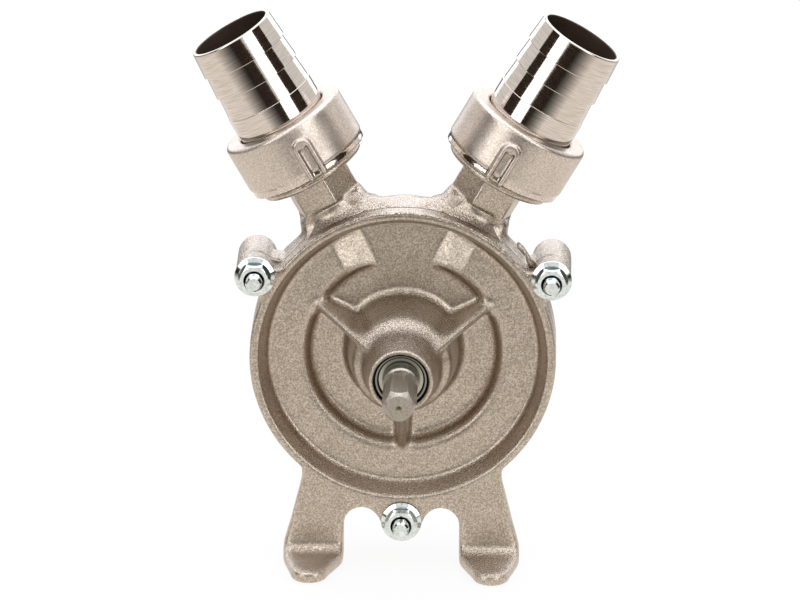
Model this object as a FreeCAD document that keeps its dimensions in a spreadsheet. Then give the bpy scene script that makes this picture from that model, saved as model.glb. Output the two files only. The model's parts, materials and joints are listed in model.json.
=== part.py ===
import FreeCAD, Part
import Sketcher
import math
import os

# Drill pump: a side-channel pump with a cast front cover on two feet, a rear housing with
# two ports in a V, a hexagonal drive shank, and a barbed hose tail under a ring nut on each port.
# Millimetres. +Z is up, the shank points to -Y, and the origin is on the floor under the shaft.

# Driving sizes, one sheet cell each. "depth" is measured backwards (+Y) from the plane of the
# cover's rim, "reach" forwards (-Y) from it, and "level" outwards along a port's axis.
sizes = {
    # Where the shaft and the rim plane lie
    "shaft_height": 76.5,
    "rim_plane_y": 6.1,
    # Front cover
    "rim_radius": 54.0,
    "rim_edge_round": 1.2,
    "rim_land": 3.4,
    "rim_chamfer": 0.6,
    "dish_draft": 3.0,
    "dish_depth": 8.5,
    "dish_round": 1.8,
    "recess_radius": 34.2,
    "recess_draft": 1.4,
    "recess_depth": 14.0,
    "recess_round": 2.6,
    "recess_edge_round": 2.0,
    "flange_thickness": 7.5,
    "web_thickness": 3.6,
    "divider_angle": 18.0,
    "ramp_angle": 16.0,
    "channel_width": 10.0,
    "channel_margin": 1.0,
    "channel_depth": 5.1,
    "channel_end_angle": 36.0,
    "boss_radius": 20.4,
    "boss_foot_round": 3.6,
    "shoulder_radius": 17.6,
    "shoulder_reach": 6.3,
    "shoulder_round": 1.4,
    "nose_root_radius": 13.9,
    "nose_root_reach": 9.2,
    "nose_root_round": 1.2,
    "nose_tip_radius": 11.3,
    "nose_reach": 24.8,
    "nose_tip_round": 0.7,
    "rib_top_width": 3.0,
    "rib_top_round": 1.2,
    "rib_bottom_width": 6.4,
    "rib_height": 15.5,
    "rib_reach": 12.5,
    "rib_bury": 4.0,
    "rib_root_round": 2.2,
    "rib_count": 3,
    # Clamping studs, their ears on the cover and their bosses on the housing
    "stud_circle_radius": 60.0,
    "stud_radius": 3.0,
    "stud_reach": 10.0,
    "stud_bury": 14.0,
    "stud_tip_chamfer": 0.7,
    "ear_radius": 7.0,
    "ear_round": 2.5,
    "stud_hole_clearance": 0.3,
    "tapped_hole_clearance": 0.05,
    "boss_back_depth": 28.0,
    "boss_web_depth": 20.0,
    "boss_web_width": 13.0,
    "boss_web_reach": 57.6,
    "boss_web_round": 5.0,
    "nut_flats": 10.0,
    "nut_height": 6.0,
    "nut_flange_radius": 7.1,
    "nut_flange_rim": 0.9,
    "nut_flange_rise": 1.7,
    "nut_bore_clearance": 0.05,
    # Legs and feet, cast with the cover
    "leg_thickness": 7.5,
    "leg_shoulder_x": 35.3,
    "leg_shoulder_drop": 45.0,
    "leg_shoulder_round": 9.0,
    "leg_knee_x": 38.6,
    "leg_knee_drop": 58.0,
    "leg_knee_round": 30.0,
    "leg_outer_x": 41.9,
    "leg_inner_x": 20.3,
    "arch_radius": 6.3,
    "arch_top_drop": 55.3,
    "foot_thickness": 5.0,
    "foot_fillet": 1.8,
    "toe_reach": 22.6,
    "toe_tip_radius": 6.8,
    "toe_tip_x": 32.0,
    "heel_depth": 30.5,
    # Rear housing
    "housing_radius": 54.0,
    "housing_edge_round": 6.0,
    "back_wall": 3.6,
    "chamber_radius": 47.0,
    "spigot_wall": 2.4,
    "spigot_clearance": 0.15,
    "spigot_chamfer": 0.5,
    "cover_gasket_thickness": 0.5,
    "cover_gasket_margin": 0.3,
    # Ports, with their necks, lips and threaded ends
    "port_angle": 30.0,
    "port_rise": 6.5,
    "port_depth": 20.0,
    "port_window_radius": 6.0,
    "port_bore_radius": 8.5,
    "neck_root_inset": 2.6,
    "neck_root_level": 40.0,
    "neck_root_round": 9.0,
    "neck_flank_level": 45.4,
    "neck_flank_round": 6.0,
    "neck_level": 53.3,
    "neck_flats": 22.1,
    "neck_turn": 16.7,
    "lip_level": 64.3,
    "lip_height": 2.8,
    "lip_radius": 19.4,
    "lip_chamfer": 0.7,
    "thread_radius": 18.0,
    "thread_length": 10.6,
    "thread_chamfer": 0.8,
    # Ring nut, hose tail and gasket on each port
    "seat_gap": 0.3,
    "union_clearance": 0.3,
    "gasket_thickness": 2.0,
    "gasket_gap": 0.1,
    "tail_flange_radius": 17.7,
    "tail_flange_thickness": 3.2,
    "tail_bore_radius": 13.85,
    "tail_neck_radius": 16.0,
    "tail_neck_length": 5.2,
    "tail_land_radius": 16.2,
    "tail_reach": 35.3,
    "tail_nose_length": 1.0,
    "barb_pitch": 8.6,
    "barb_top_radius": 15.95,
    "barb_foot_radius": 15.25,
    "tail_tip_chamfer": 0.5,
    "ring_radius": 22.4,
    "ring_lip_thickness": 4.3,
    "ring_top_round": 1.6,
    "ring_hole_round": 1.1,
    "ring_band_height": 2.6,
    "ring_band_step": 0.45,
    "ring_lug_width": 6.6,
    "ring_lug_rise": 1.1,
    "ring_lug_wall": 1.5,
    "ring_lug_floor": 0.2,
    "ring_lug_top": 5.1,
    "ring_lug_pip_radius": 1.1,
    "ring_lug_count": 2,
    "left_lug_angle": 12.6,
    "right_lug_angle": -7.6,
    # Bearings: bore, outside, width, ring lands, balls
    "journal_radius": 5.0,
    "seat_clearance": 0.02,
    "nose_bearing_radius": 9.5,
    "nose_bearing_width": 7.0,
    "nose_bearing_reach": 22.2,
    "nose_bearing_inner_land": 6.15,
    "nose_bearing_outer_land": 8.35,
    "nose_bearing_ball_radius": 1.3,
    "nose_bearing_ball_count": 9,
    "inner_bearing_radius": 13.0,
    "inner_bearing_width": 8.0,
    "inner_bearing_front_depth": 1.2,
    "inner_bearing_inner_land": 7.3,
    "inner_bearing_outer_land": 10.7,
    "inner_bearing_ball_radius": 2.38,
    "inner_bearing_ball_count": 7,
    "ball_clearance": 0.03,
    "cage_clearance": 0.12,
    "cage_wall": 0.8,
    "cage_side": 0.5,
    "shield_thickness": 0.35,
    "shield_recess": 0.25,
    "shield_clearance": 0.12,
    "bearing_edge_chamfer": 0.4,
    "snap_ring_wire": 1.0,
    "snap_ring_bite": 0.5,
    "snap_ring_gap_angle": 40.0,
    "snap_ring_clearance": 0.05,
    "shaft_hole_clearance": 1.0,
    # Shaft seal
    "seal_width": 6.0,
    "seal_back_gap": 0.3,
    "seal_wall": 1.6,
    "seal_lip_clearance": 0.05,
    "seal_spring_radius": 0.6,
    "seal_spring_ring": 6.9,
    # Drive shaft
    "collar_radius": 6.5,
    "collar_gap": 0.8,
    "collar_reach": 29.7,
    "collar_chamfer": 0.6,
    "shank_flats": 10.4,
    "shank_reach": 50.6,
    "shank_tip_reach": 54.2,
    "shank_tip_radius": 4.5,
    "centre_drill_radius": 1.0,
    "centre_drill_depth": 1.4,
    # Impeller and key
    "impeller_width": 6.5,
    "impeller_side_gap": 0.15,
    "impeller_tip_gap": 0.4,
    "impeller_bore_clearance": 0.03,
    "impeller_hub_radius": 30.0,
    "impeller_hub_thickness": 3.0,
    "impeller_core_radius": 11.0,
    "blade_count": 24,
    "blade_thickness": 2.2,
    "balance_hole_radius": 3.0,
    "balance_hole_circle": 20.0,
    "balance_hole_count": 6,
    "key_width": 3.0,
    "key_height": 3.0,
    "key_in_shaft": 1.8,
    "key_clearance": 0.04,
}

document = FreeCAD.newDocument("DrillPump")
sheet = document.addObject("Spreadsheet::Sheet", "Sizes")
for row, (name, value) in enumerate(sizes.items(), start=1):
    sheet.set(f"A{row}", name)
    sheet.set(f"B{row}", str(value))
    sheet.setAlias(f"B{row}", name)
document.recompute()

overrun = 1.0
hexagon_corners = 6
full_turn = 360
upright = 90


class Term:
    """A number together with the sheet expression that gives it."""

    def __init__(self, value, text):
        self.value = float(value)
        self.text = text

    def __add__(self, other):
        other = term(other)
        return Term(self.value + other.value, f"({self.text} + {other.text})")

    def __sub__(self, other):
        other = term(other)
        return Term(self.value - other.value, f"({self.text} - {other.text})")

    def __mul__(self, other):
        other = term(other)
        return Term(self.value * other.value, f"({self.text} * {other.text})")

    def __truediv__(self, other):
        other = term(other)
        return Term(self.value / other.value, f"({self.text} / {other.text})")

    def __neg__(self):
        return Term(-self.value, f"(0 - {self.text})")


def term(value):
    """A plain number as a term; a term as it is."""
    return value if isinstance(value, Term) else Term(value, repr(float(value)))


def size(name):
    """The sheet cell of this name."""
    return Term(sizes[name], f"Sizes.{name}")


def cosine(angle):
    return Term(math.cos(math.radians(angle.value)), f"cos({angle.text})")


def sine(angle):
    return Term(math.sin(math.radians(angle.value)), f"sin({angle.text})")


def tangent(angle):
    return Term(math.tan(math.radians(angle.value)), f"tan({angle.text})")


def angle_of(rise, run):
    """The slope angle, in degrees, of a line that climbs by rise along run."""
    ratio = rise / run
    return Term(math.degrees(math.atan(ratio.value)), f"atan({ratio.text})")


def bind(item, prop, value):
    """Ties a property to the sheet expression of a term."""
    item.setExpression(prop, term(value).text)


def origin_part(body, role):
    """One of a body's own origin planes or axes."""
    return next(part for part in body.Origin.OriginFeatures if part.Role == role)


def new_body(label):
    body = document.addObject("PartDesign::Body", label)
    body.Label = label
    return body


def new_sketch(body, name, role, turn=None, shift=(0, 0, 0)):
    """A sketch on an origin plane, turned about (axis, angle) and shifted in that plane's frame."""
    sketch = body.newObject("Sketcher::SketchObject", name)
    sketch.AttachmentSupport = [(origin_part(body, role), "")]
    sketch.MapMode = "FlatFace"
    moves = [term(part) for part in shift]
    axis, angle = turn if turn else (FreeCAD.Vector(0, 0, 1), term(0))
    sketch.AttachmentOffset = FreeCAD.Placement(
        FreeCAD.Vector(*[move.value for move in moves]), FreeCAD.Rotation(axis, angle.value))
    for letter, move in zip("xyz", moves):
        bind(sketch, f"AttachmentOffset.Base.{letter}", move)
    if turn:
        bind(sketch, "AttachmentOffset.Rotation.Angle", angle)
    return sketch


def hold_point(sketch, geometry, end, x, y):
    """Fixes a point of the sketch at two distances from its origin."""
    for kind, value in (("DistanceX", x), ("DistanceY", y)):
        index = sketch.addConstraint(
            Sketcher.Constraint(kind, -1, 1, geometry, end, value.value))
        bind(sketch, f"Constraints[{index}]", value)


def add_arc(sketch, start, finish, centre, radius, leftward):
    """An arc between two points; returns its index and its end numbers at start and finish."""
    first, last = (start, finish) if leftward else (finish, start)
    angles = [math.atan2(point.y - centre.y, point.x - centre.x) for point in (first, last)]
    circle = Part.Circle(centre, FreeCAD.Vector(0, 0, 1), radius.value)
    index = sketch.addGeometry(Part.ArcOfCircle(circle, angles[0], angles[1]), False)
    place = sketch.addConstraint(Sketcher.Constraint("Radius", index, radius.value))
    bind(sketch, f"Constraints[{place}]", radius)
    return (index, 1, 2) if leftward else (index, 2, 1)


def add_outline(sketch, corners):
    """A closed outline. A corner is (x, y), (x, y, "round", radius) where it is rounded between
    straight sides, or (x, y, "arc", radius) where the side that leaves it is an arc, with a
    positive radius where that arc turns left."""
    spots = [(term(corner[0]), term(corner[1])) for corner in corners]
    points = [FreeCAD.Vector(x.value, y.value, 0) for x, y in spots]
    kinds = [corner[2] if len(corner) > 2 else "sharp" for corner in corners]
    radii = [term(corner[3]) if len(corner) > 3 else None for corner in corners]
    count = len(corners)
    leave, arrive, rounds = list(points), list(points), {}
    for i, point in enumerate(points):
        if kinds[i] != "round":
            continue
        before = (points[i - 1] - point).normalize()
        after = (points[(i + 1) % count] - point).normalize()
        half = before.getAngle(after) / 2
        run = radii[i].value / math.tan(half)
        arrive[i] = point + before * run
        leave[i] = point + after * run
        centre = point + (before + after).normalize() * (radii[i].value / math.sin(half))
        rounds[i] = (centre, before.cross(after).z < 0)
    sides = []
    for i in range(count):
        start, finish = leave[i], arrive[(i + 1) % count]
        if kinds[i] != "arc":
            sides.append((sketch.addGeometry(Part.LineSegment(start, finish), False), 1, 2))
            continue
        radius = radii[i].value
        chord = finish - start
        rise = math.sqrt(max(radius * radius - chord.Length ** 2 / 4, 0))
        left = FreeCAD.Vector(-chord.y, chord.x, 0).normalize()
        centre = (start + finish) * 0.5 + left * math.copysign(rise, radius)
        positive = radii[i] if radius > 0 else -radii[i]
        sides.append(add_arc(sketch, start, finish, centre, positive, radius > 0))
    for i, (x, y) in enumerate(spots):
        into, out = sides[i - 1], sides[i]
        if kinds[i] != "round":
            sketch.addConstraint(Sketcher.Constraint("Coincident", into[0], into[2], out[0], out[1]))
            hold_point(sketch, out[0], out[1], x, y)
            continue
        centre, leftward = rounds[i]
        arc = add_arc(sketch, arrive[i], leave[i], centre, radii[i], leftward)
        sketch.addConstraint(Sketcher.Constraint("Tangent", into[0], into[2], arc[0], arc[1]))
        sketch.addConstraint(Sketcher.Constraint("Tangent", arc[0], arc[2], out[0], out[1]))
        corner = sketch.addGeometry(Part.Point(points[i]), True)
        hold_point(sketch, corner, 1, x, y)
        sketch.addConstraint(Sketcher.Constraint("PointOnObject", corner, 1, into[0]))
        sketch.addConstraint(Sketcher.Constraint("PointOnObject", corner, 1, out[0]))


def add_circle(sketch, x, y, radius):
    """A circle of a bound radius, held at a bound centre."""
    x, y, radius = term(x), term(y), term(radius)
    circle = Part.Circle(FreeCAD.Vector(x.value, y.value, 0), FreeCAD.Vector(0, 0, 1), radius.value)
    index = sketch.addGeometry(circle, False)
    place = sketch.addConstraint(Sketcher.Constraint("Radius", index, radius.value))
    bind(sketch, f"Constraints[{place}]", radius)
    hold_point(sketch, index, 3, x, y)


def hexagon_corner(flats):
    """The distance from the centre of a hexagon of this width across flats to its corners."""
    return term(flats) / 2 / cosine(term(full_turn / hexagon_corners / 2))


def hexagon(flats, first_angle, x=0, y=0):
    """The corners of a hexagon of this width across flats, the first one at first_angle."""
    corner_radius = hexagon_corner(flats)
    corners = []
    for step in range(hexagon_corners):
        angle = term(first_angle) + full_turn / hexagon_corners * step
        corners.append((term(x) + corner_radius * cosine(angle), term(y) + corner_radius * sine(angle)))
    return corners


def revolve(body, name, sketch, axis, angle=None, cut=False):
    """Turns a sketch about one of its axes, half the angle to each side of its plane."""
    kind = "PartDesign::Groove" if cut else "PartDesign::Revolution"
    feature = body.newObject(kind, name)
    feature.Profile = sketch
    feature.ReferenceAxis = (sketch, [axis])
    feature.Midplane = True
    bind(feature, "Angle", angle or full_turn)
    document.recompute()
    return feature


def extrude(body, name, sketch, length, cut=False, both=False, flip=False):
    """Pads a sketch along its normal, or cuts against it."""
    feature = body.newObject("PartDesign::Pocket" if cut else "PartDesign::Pad", name)
    feature.Profile = sketch
    feature.SideType = "Symmetric" if both else "One side"
    feature.Reversed = flip
    bind(feature, "Length", length)
    document.recompute()
    return feature


def repeat(body, name, features, axis_role, count):
    """Copies features around an axis of the body's origin."""
    pattern = body.newObject("PartDesign::PolarPattern", name)
    pattern.Originals = features
    pattern.Axis = (origin_part(body, axis_role), [""])
    pattern.Angle = full_turn
    bind(pattern, "Occurrences", count)
    body.Tip = pattern
    document.recompute()
    return pattern


def mirror(body, name, features, plane_role):
    """Copies features to the other side of an origin plane."""
    copy = body.newObject("PartDesign::Mirrored", name)
    copy.Originals = features
    copy.MirrorPlane = (origin_part(body, plane_role), [""])
    body.Tip = copy
    document.recompute()
    return copy


def fillet(body, name, radius, chosen):
    """Rounds the edges of the body's last feature that the test accepts."""
    last = body.Tip
    names = [f"Edge{i}" for i, edge in enumerate(last.Shape.Edges, start=1) if chosen(edge)]
    feature = body.newObject("PartDesign::Fillet", name)
    feature.Base = (last, names)
    bind(feature, "Radius", radius)
    document.recompute()
    return feature


def is_straight(edge, direction):
    """True for a straight edge along a direction."""
    if len(edge.Vertexes) != 2 or edge.Curve.TypeId != "Part::GeomLine":
        return False
    along = (edge.Vertexes[1].Point - edge.Vertexes[0].Point).normalize()
    return abs(along.dot(direction)) > 0.999


def near(value, target, slack=0.02):
    return abs(value - target) < slack


across = FreeCAD.Vector(1, 0, 0)
back = FreeCAD.Vector(0, 1, 0)
upward = FreeCAD.Vector(0, 0, 1)


def on_shaft(body):
    """Places a body whose own origin is on the shaft axis in the rim plane."""
    bind(body, "Placement.Base.y", size("rim_plane_y"))
    bind(body, "Placement.Base.z", size("shaft_height"))


def on_port(body, side):
    """Places a body whose own +Z is a port's axis; side is 1 on the right and -1 on the left."""
    body.Placement = FreeCAD.Placement(
        FreeCAD.Vector(0, 0, 0), FreeCAD.Rotation(back, side * sizes["port_angle"]))
    bind(body, "Placement.Base.y", size("rim_plane_y") + size("port_depth"))
    bind(body, "Placement.Base.z", size("shaft_height") + size("port_rise"))
    bind(body, "Placement.Rotation.Angle", size("port_angle") * side)


# Planes and levels that several pieces share
running_face = size("recess_depth") + size("web_thickness")
chamber_back = running_face + size("impeller_width") + size("impeller_side_gap") * 2
housing_back = chamber_back + size("back_wall")
housing_front = size("flange_thickness") + size("cover_gasket_thickness")
rim_inner = size("rim_radius") - size("rim_land")
dish_foot = rim_inner - size("dish_draft")
spigot_radius = dish_foot + size("spigot_wall")
spigot_seat = spigot_radius + size("spigot_clearance")
neck_root_half = size("port_depth") - housing_front - size("neck_root_inset")
channel_outer = size("chamber_radius") - size("channel_margin")
channel_inner = channel_outer - size("channel_width")
port_end = size("lip_level") + size("lip_height") + size("thread_length")
ring_bottom = size("lip_level") + size("lip_height") + size("seat_gap")
gasket_top = port_end + size("gasket_thickness")
tail_flange_bottom = gasket_top + size("gasket_gap")
tail_flange_top = tail_flange_bottom + size("tail_flange_thickness")
ring_shoulder = tail_flange_top + size("union_clearance")
ring_top = ring_shoulder + size("ring_lip_thickness")
tail_tip = ring_top + size("tail_reach")
inner_bearing_back = size("inner_bearing_front_depth") + size("inner_bearing_width")
port_sides = {"left": -1, "right": 1}


def port_shift(level):
    """How far a plane at this level on a port's axis lies from the shaft axis, for both sides."""
    sideways = level * sine(size("port_angle"))
    upwards = size("port_rise") + level * cosine(size("port_angle"))
    return sideways, upwards


def leg_and_foot(body):
    """One leg on the right, its toe in front and its heel behind, and their copies on the left."""
    arch_x = size("leg_inner_x") - size("arch_radius")
    arch_spring = -(size("arch_top_drop") + size("arch_radius"))
    sole = -size("shaft_height")
    foot_top = sole + size("foot_thickness")
    cove = size("foot_fillet")
    sketch = new_sketch(body, "LegOutline", "XZ_Plane", shift=(0, 0, -size("leg_thickness")))
    add_outline(sketch, [
        (0, -size("dish_depth") - size("recess_radius")),
        (size("leg_shoulder_x"), -size("recess_radius")),
        (size("leg_shoulder_x"), -size("leg_shoulder_drop"), "round", size("leg_shoulder_round")),
        (size("leg_knee_x"), -size("leg_knee_drop"), "round", size("leg_knee_round")),
        (size("leg_outer_x"), foot_top + size("foot_fillet")),
        (size("leg_outer_x"), sole),
        (size("leg_inner_x"), sole),
        (size("leg_inner_x"), arch_spring, "arc", size("arch_radius")),
        (arch_x, -size("arch_top_drop"), "arc", size("arch_radius")),
        (arch_x - size("arch_radius"), arch_spring),
        (0, arch_spring),
    ])
    leg = extrude(body, "Leg", sketch, size("leg_thickness"))
    pads = [leg]
    for name, root_y, tip_y in (
            ("Toe", -cove, -(size("toe_reach") - size("toe_tip_radius"))),
            ("Heel", size("leg_thickness") + cove, size("heel_depth") - size("toe_tip_radius"))):
        outward = -1 if name == "Toe" else 1
        radius = size("toe_tip_radius")
        start_y = size("leg_thickness") if name == "Toe" else term(0)
        arc = radius * outward
        sketch = new_sketch(body, f"{name}Outline", "XY_Plane", shift=(0, 0, sole))
        add_outline(sketch, [
            (size("leg_outer_x"), start_y),
            (size("leg_outer_x"), root_y),
            (size("toe_tip_x") + radius, tip_y, "arc", arc),
            (size("toe_tip_x"), tip_y + arc, "arc", arc),
            (size("toe_tip_x") - radius, tip_y),
            (size("leg_inner_x"), root_y),
            (size("leg_inner_x"), start_y),
        ])
        pads.append(extrude(body, name, sketch, size("foot_thickness")))
    for name, face, run in (("ToeCove", term(0), -cove), ("HeelCove", size("leg_thickness"), cove)):
        sketch = new_sketch(body, f"{name}Profile", "YZ_Plane", shift=(0, 0, size("leg_inner_x")))
        add_outline(sketch, [
            (face, foot_top),
            (face + run, foot_top, "arc", run),
            (face, foot_top + cove),
        ])
        pads.append(extrude(body, name, sketch, size("leg_outer_x") - size("leg_inner_x")))
    mirror(body, "LeftLeg", pads, "YZ_Plane")


def front_cover():
    """The cast cover: rim, sunk dish with the raised C of the side channel, ribbed nose, ears, legs."""
    body = new_body("front_cover")
    sketch = new_sketch(body, "DiscProfile", "YZ_Plane")
    add_outline(sketch, [
        (0, 0),
        (0, size("rim_radius")),
        (size("flange_thickness"), size("rim_radius")),
        (size("flange_thickness"), spigot_radius),
        (running_face - size("spigot_chamfer"), spigot_radius),
        (running_face, spigot_radius - size("spigot_chamfer")),
        (running_face, 0),
    ])
    revolve(body, "Disc", sketch, "H_Axis")

    sketch = new_sketch(body, "EarOutline", "XZ_Plane", shift=(0, 0, -size("flange_thickness")))
    add_circle(sketch, 0, -size("stud_circle_radius"), size("ear_radius"))
    ear = extrude(body, "Ear", sketch, size("flange_thickness"))
    repeat(body, "Ears", [ear], "Y_Axis", size("rib_count"))

    def ear_corner(edge):
        middle = edge.CenterOfMass
        return is_straight(edge, back) and near(math.hypot(middle.x, middle.z), sizes["rim_radius"])

    fillet(body, "EarFillets", size("ear_round"), ear_corner)
    fillet(body, "RimRound", size("rim_edge_round"), lambda edge: near(edge.BoundBox.YMax, 0))
    leg_and_foot(body)

    sketch = new_sketch(body, "DishProfile", "YZ_Plane")
    add_outline(sketch, [
        (-overrun, 0),
        (-overrun, rim_inner + size("rim_chamfer") + overrun),
        (size("rim_chamfer"), rim_inner),
        (size("dish_depth"), dish_foot, "round", size("dish_round")),
        (size("dish_depth"), size("recess_radius"), "round", size("recess_edge_round")),
        (size("recess_depth"), size("recess_radius") - size("recess_draft"), "round",
         size("recess_round")),
        (size("recess_depth"), 0),
    ])
    revolve(body, "Dish", sketch, "H_Axis", cut=True)

    sector_inner = size("recess_radius") - size("recess_draft") - size("recess_round")
    sketch = new_sketch(body, "DividerProfile", "YZ_Plane")
    add_outline(sketch, [
        (size("dish_depth") - overrun, sector_inner),
        (size("dish_depth") - overrun, dish_foot),
        (size("recess_depth"), dish_foot),
        (size("recess_depth"), sector_inner),
    ])
    revolve(body, "Divider", sketch, "H_Axis", size("divider_angle") * 2, cut=True)
    ramp_middle = size("divider_angle") + size("ramp_angle") / 2
    ramp_run = (sector_inner + dish_foot) / 2 * tangent(size("ramp_angle") / 2)
    spill = size("recess_round")
    for name, side in port_sides.items():
        angle = ramp_middle * side
        sketch = new_sketch(
            body, f"{name.title()}RampProfile", "XY_Plane", (back, angle),
            (dish_foot * sine(angle), 0, dish_foot * cosine(angle)))
        near_end, far_end = -ramp_run * side, ramp_run * side
        lift = size("dish_depth") - size("recess_edge_round")
        add_outline(sketch, [
            (near_end - spill * side, size("recess_depth")),
            (near_end, size("recess_depth")),
            (far_end, size("dish_depth")),
            (far_end, lift),
            (near_end - spill * side, lift),
        ])
        extrude(body, f"{name.title()}Ramp", sketch, dish_foot - sector_inner, cut=True)

    sketch = new_sketch(body, "NoseProfile", "YZ_Plane")
    foot = size("boss_radius") + size("boss_foot_round") * 2
    add_outline(sketch, [
        (running_face - overrun, 0),
        (running_face - overrun, foot),
        (size("recess_depth"), foot),
        (size("recess_depth"), size("boss_radius"), "round", size("boss_foot_round")),
        (-size("shoulder_reach"), size("shoulder_radius"), "round", size("shoulder_round")),
        (-size("nose_root_reach"), size("nose_root_radius"), "round", size("nose_root_round")),
        (-size("nose_reach"), size("nose_tip_radius"), "round", size("nose_tip_round")),
        (-size("nose_reach"), 0),
    ])
    revolve(body, "Nose", sketch, "H_Axis")

    nose_ribs(body)
    cover_bores(body)
    on_shaft(body)
    return body


def nose_ribs(body):
    """Drafted ribs with round backs, straight from the recess edge up to the nose cone."""
    outer = size("recess_radius") + size("recess_edge_round")
    taper = ((size("nose_root_radius") - size("nose_tip_radius"))
             / (size("nose_reach") - size("nose_root_reach")))
    inner = size("nose_root_radius") - (size("rib_reach") - size("nose_root_reach")) * taper
    climb = size("dish_depth") + size("rib_reach")
    slope = angle_of(climb, outer - inner)
    bury = size("rib_bury")
    sketch = new_sketch(body, "RibSection", "XY_Plane", (across, slope), (
        0, size("dish_depth") + bury * sine(slope), -(outer + bury * cosine(slope))))
    top, bottom = size("rib_top_width") / 2, size("rib_bottom_width") / 2
    add_outline(sketch, [
        (-top, 0, "round", size("rib_top_round")),
        (top, 0, "round", size("rib_top_round")),
        (bottom, size("rib_height")),
        (-bottom, size("rib_height")),
    ])
    rib = extrude(body, "Rib", sketch, climb / sine(slope) + bury * 2)
    repeat(body, "Ribs", [rib], "Y_Axis", size("rib_count"))

    def rib_root(edge):
        box = edge.BoundBox
        on_floor = near(box.YMin, sizes["recess_depth"]) and near(box.YMax, sizes["recess_depth"])
        middle = math.hypot(edge.CenterOfMass.x, edge.CenterOfMass.z)
        between = sizes["boss_radius"] < middle < sizes["recess_radius"] - sizes["recess_draft"]
        return on_floor and edge.Curve.TypeId == "Part::GeomLine" and between

    fillet(body, "RibRoots", size("rib_root_round"), rib_root)
    sketch = new_sketch(body, "RunningFaceTrim", "YZ_Plane")
    add_outline(sketch, [
        (running_face, 0),
        (running_face, spigot_radius),
        (running_face + size("rib_height"), spigot_radius),
        (running_face + size("rib_height"), 0),
    ])
    revolve(body, "RunningFace", sketch, "H_Axis", cut=True)


def cover_bores(body):
    """Seats for the bearings and the seal, the hidden side channel, port windows and stud holes."""
    shaft_hole = size("journal_radius") + size("shaft_hole_clearance")
    nose_seat = size("nose_bearing_radius") + size("seat_clearance")
    inner_seat = size("inner_bearing_radius") + size("seat_clearance")
    nose_seat_back = -(size("nose_bearing_reach") - size("nose_bearing_width"))
    wire = size("snap_ring_wire")
    groove_front = -(size("nose_bearing_reach") + wire)
    sketch = new_sketch(body, "BoreProfile", "YZ_Plane")
    add_outline(sketch, [
        (-size("nose_reach") - overrun, 0),
        (-size("nose_reach") - overrun, nose_seat),
        (groove_front, nose_seat),
        (groove_front, nose_seat + size("snap_ring_bite")),
        (-size("nose_bearing_reach"), nose_seat + size("snap_ring_bite")),
        (-size("nose_bearing_reach"), nose_seat),
        (nose_seat_back, nose_seat),
        (nose_seat_back, shaft_hole),
        (size("inner_bearing_front_depth"), shaft_hole),
        (size("inner_bearing_front_depth"), inner_seat),
        (inner_bearing_back, inner_seat),
        (inner_bearing_back, inner_seat + size("snap_ring_bite")),
        (inner_bearing_back + wire, inner_seat + size("snap_ring_bite")),
        (inner_bearing_back + wire, inner_seat),
        (running_face + overrun, inner_seat),
        (running_face + overrun, 0),
    ])
    revolve(body, "Bores", sketch, "H_Axis", cut=True)

    sketch = new_sketch(body, "ChannelProfile", "YZ_Plane")
    add_outline(sketch, [
        (running_face + overrun, -channel_inner),
        (running_face + overrun, -channel_outer),
        (running_face - size("channel_depth"), -channel_outer, "round", size("dish_round")),
        (running_face - size("channel_depth"), -channel_inner, "round", size("dish_round")),
    ])
    sweep = term(full_turn) - size("channel_end_angle") * 2
    revolve(body, "SideChannel", sketch, "H_Axis", sweep, cut=True)

    for name, side in port_sides.items():
        sideways, upwards = port_shift(size("neck_level"))
        angle = size("port_angle") * side
        sketch = new_sketch(body, f"{name.title()}WindowOutline", "XY_Plane", (back, angle),
                            (sideways * side, 0, upwards))
        add_circle(sketch, 0, size("port_depth"), size("port_window_radius"))
        extrude(body, f"{name.title()}Window", sketch, size("neck_level") - channel_inner, cut=True)

    sketch = new_sketch(body, "StudHoleOutline", "XZ_Plane", shift=(0, 0, overrun))
    add_circle(sketch, 0, -size("stud_circle_radius"),
               size("stud_radius") + size("stud_hole_clearance"))
    hole = extrude(body, "StudHole", sketch, size("flange_thickness") + overrun * 2, cut=True)
    repeat(body, "StudHoles", [hole], "Y_Axis", size("rib_count"))


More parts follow.
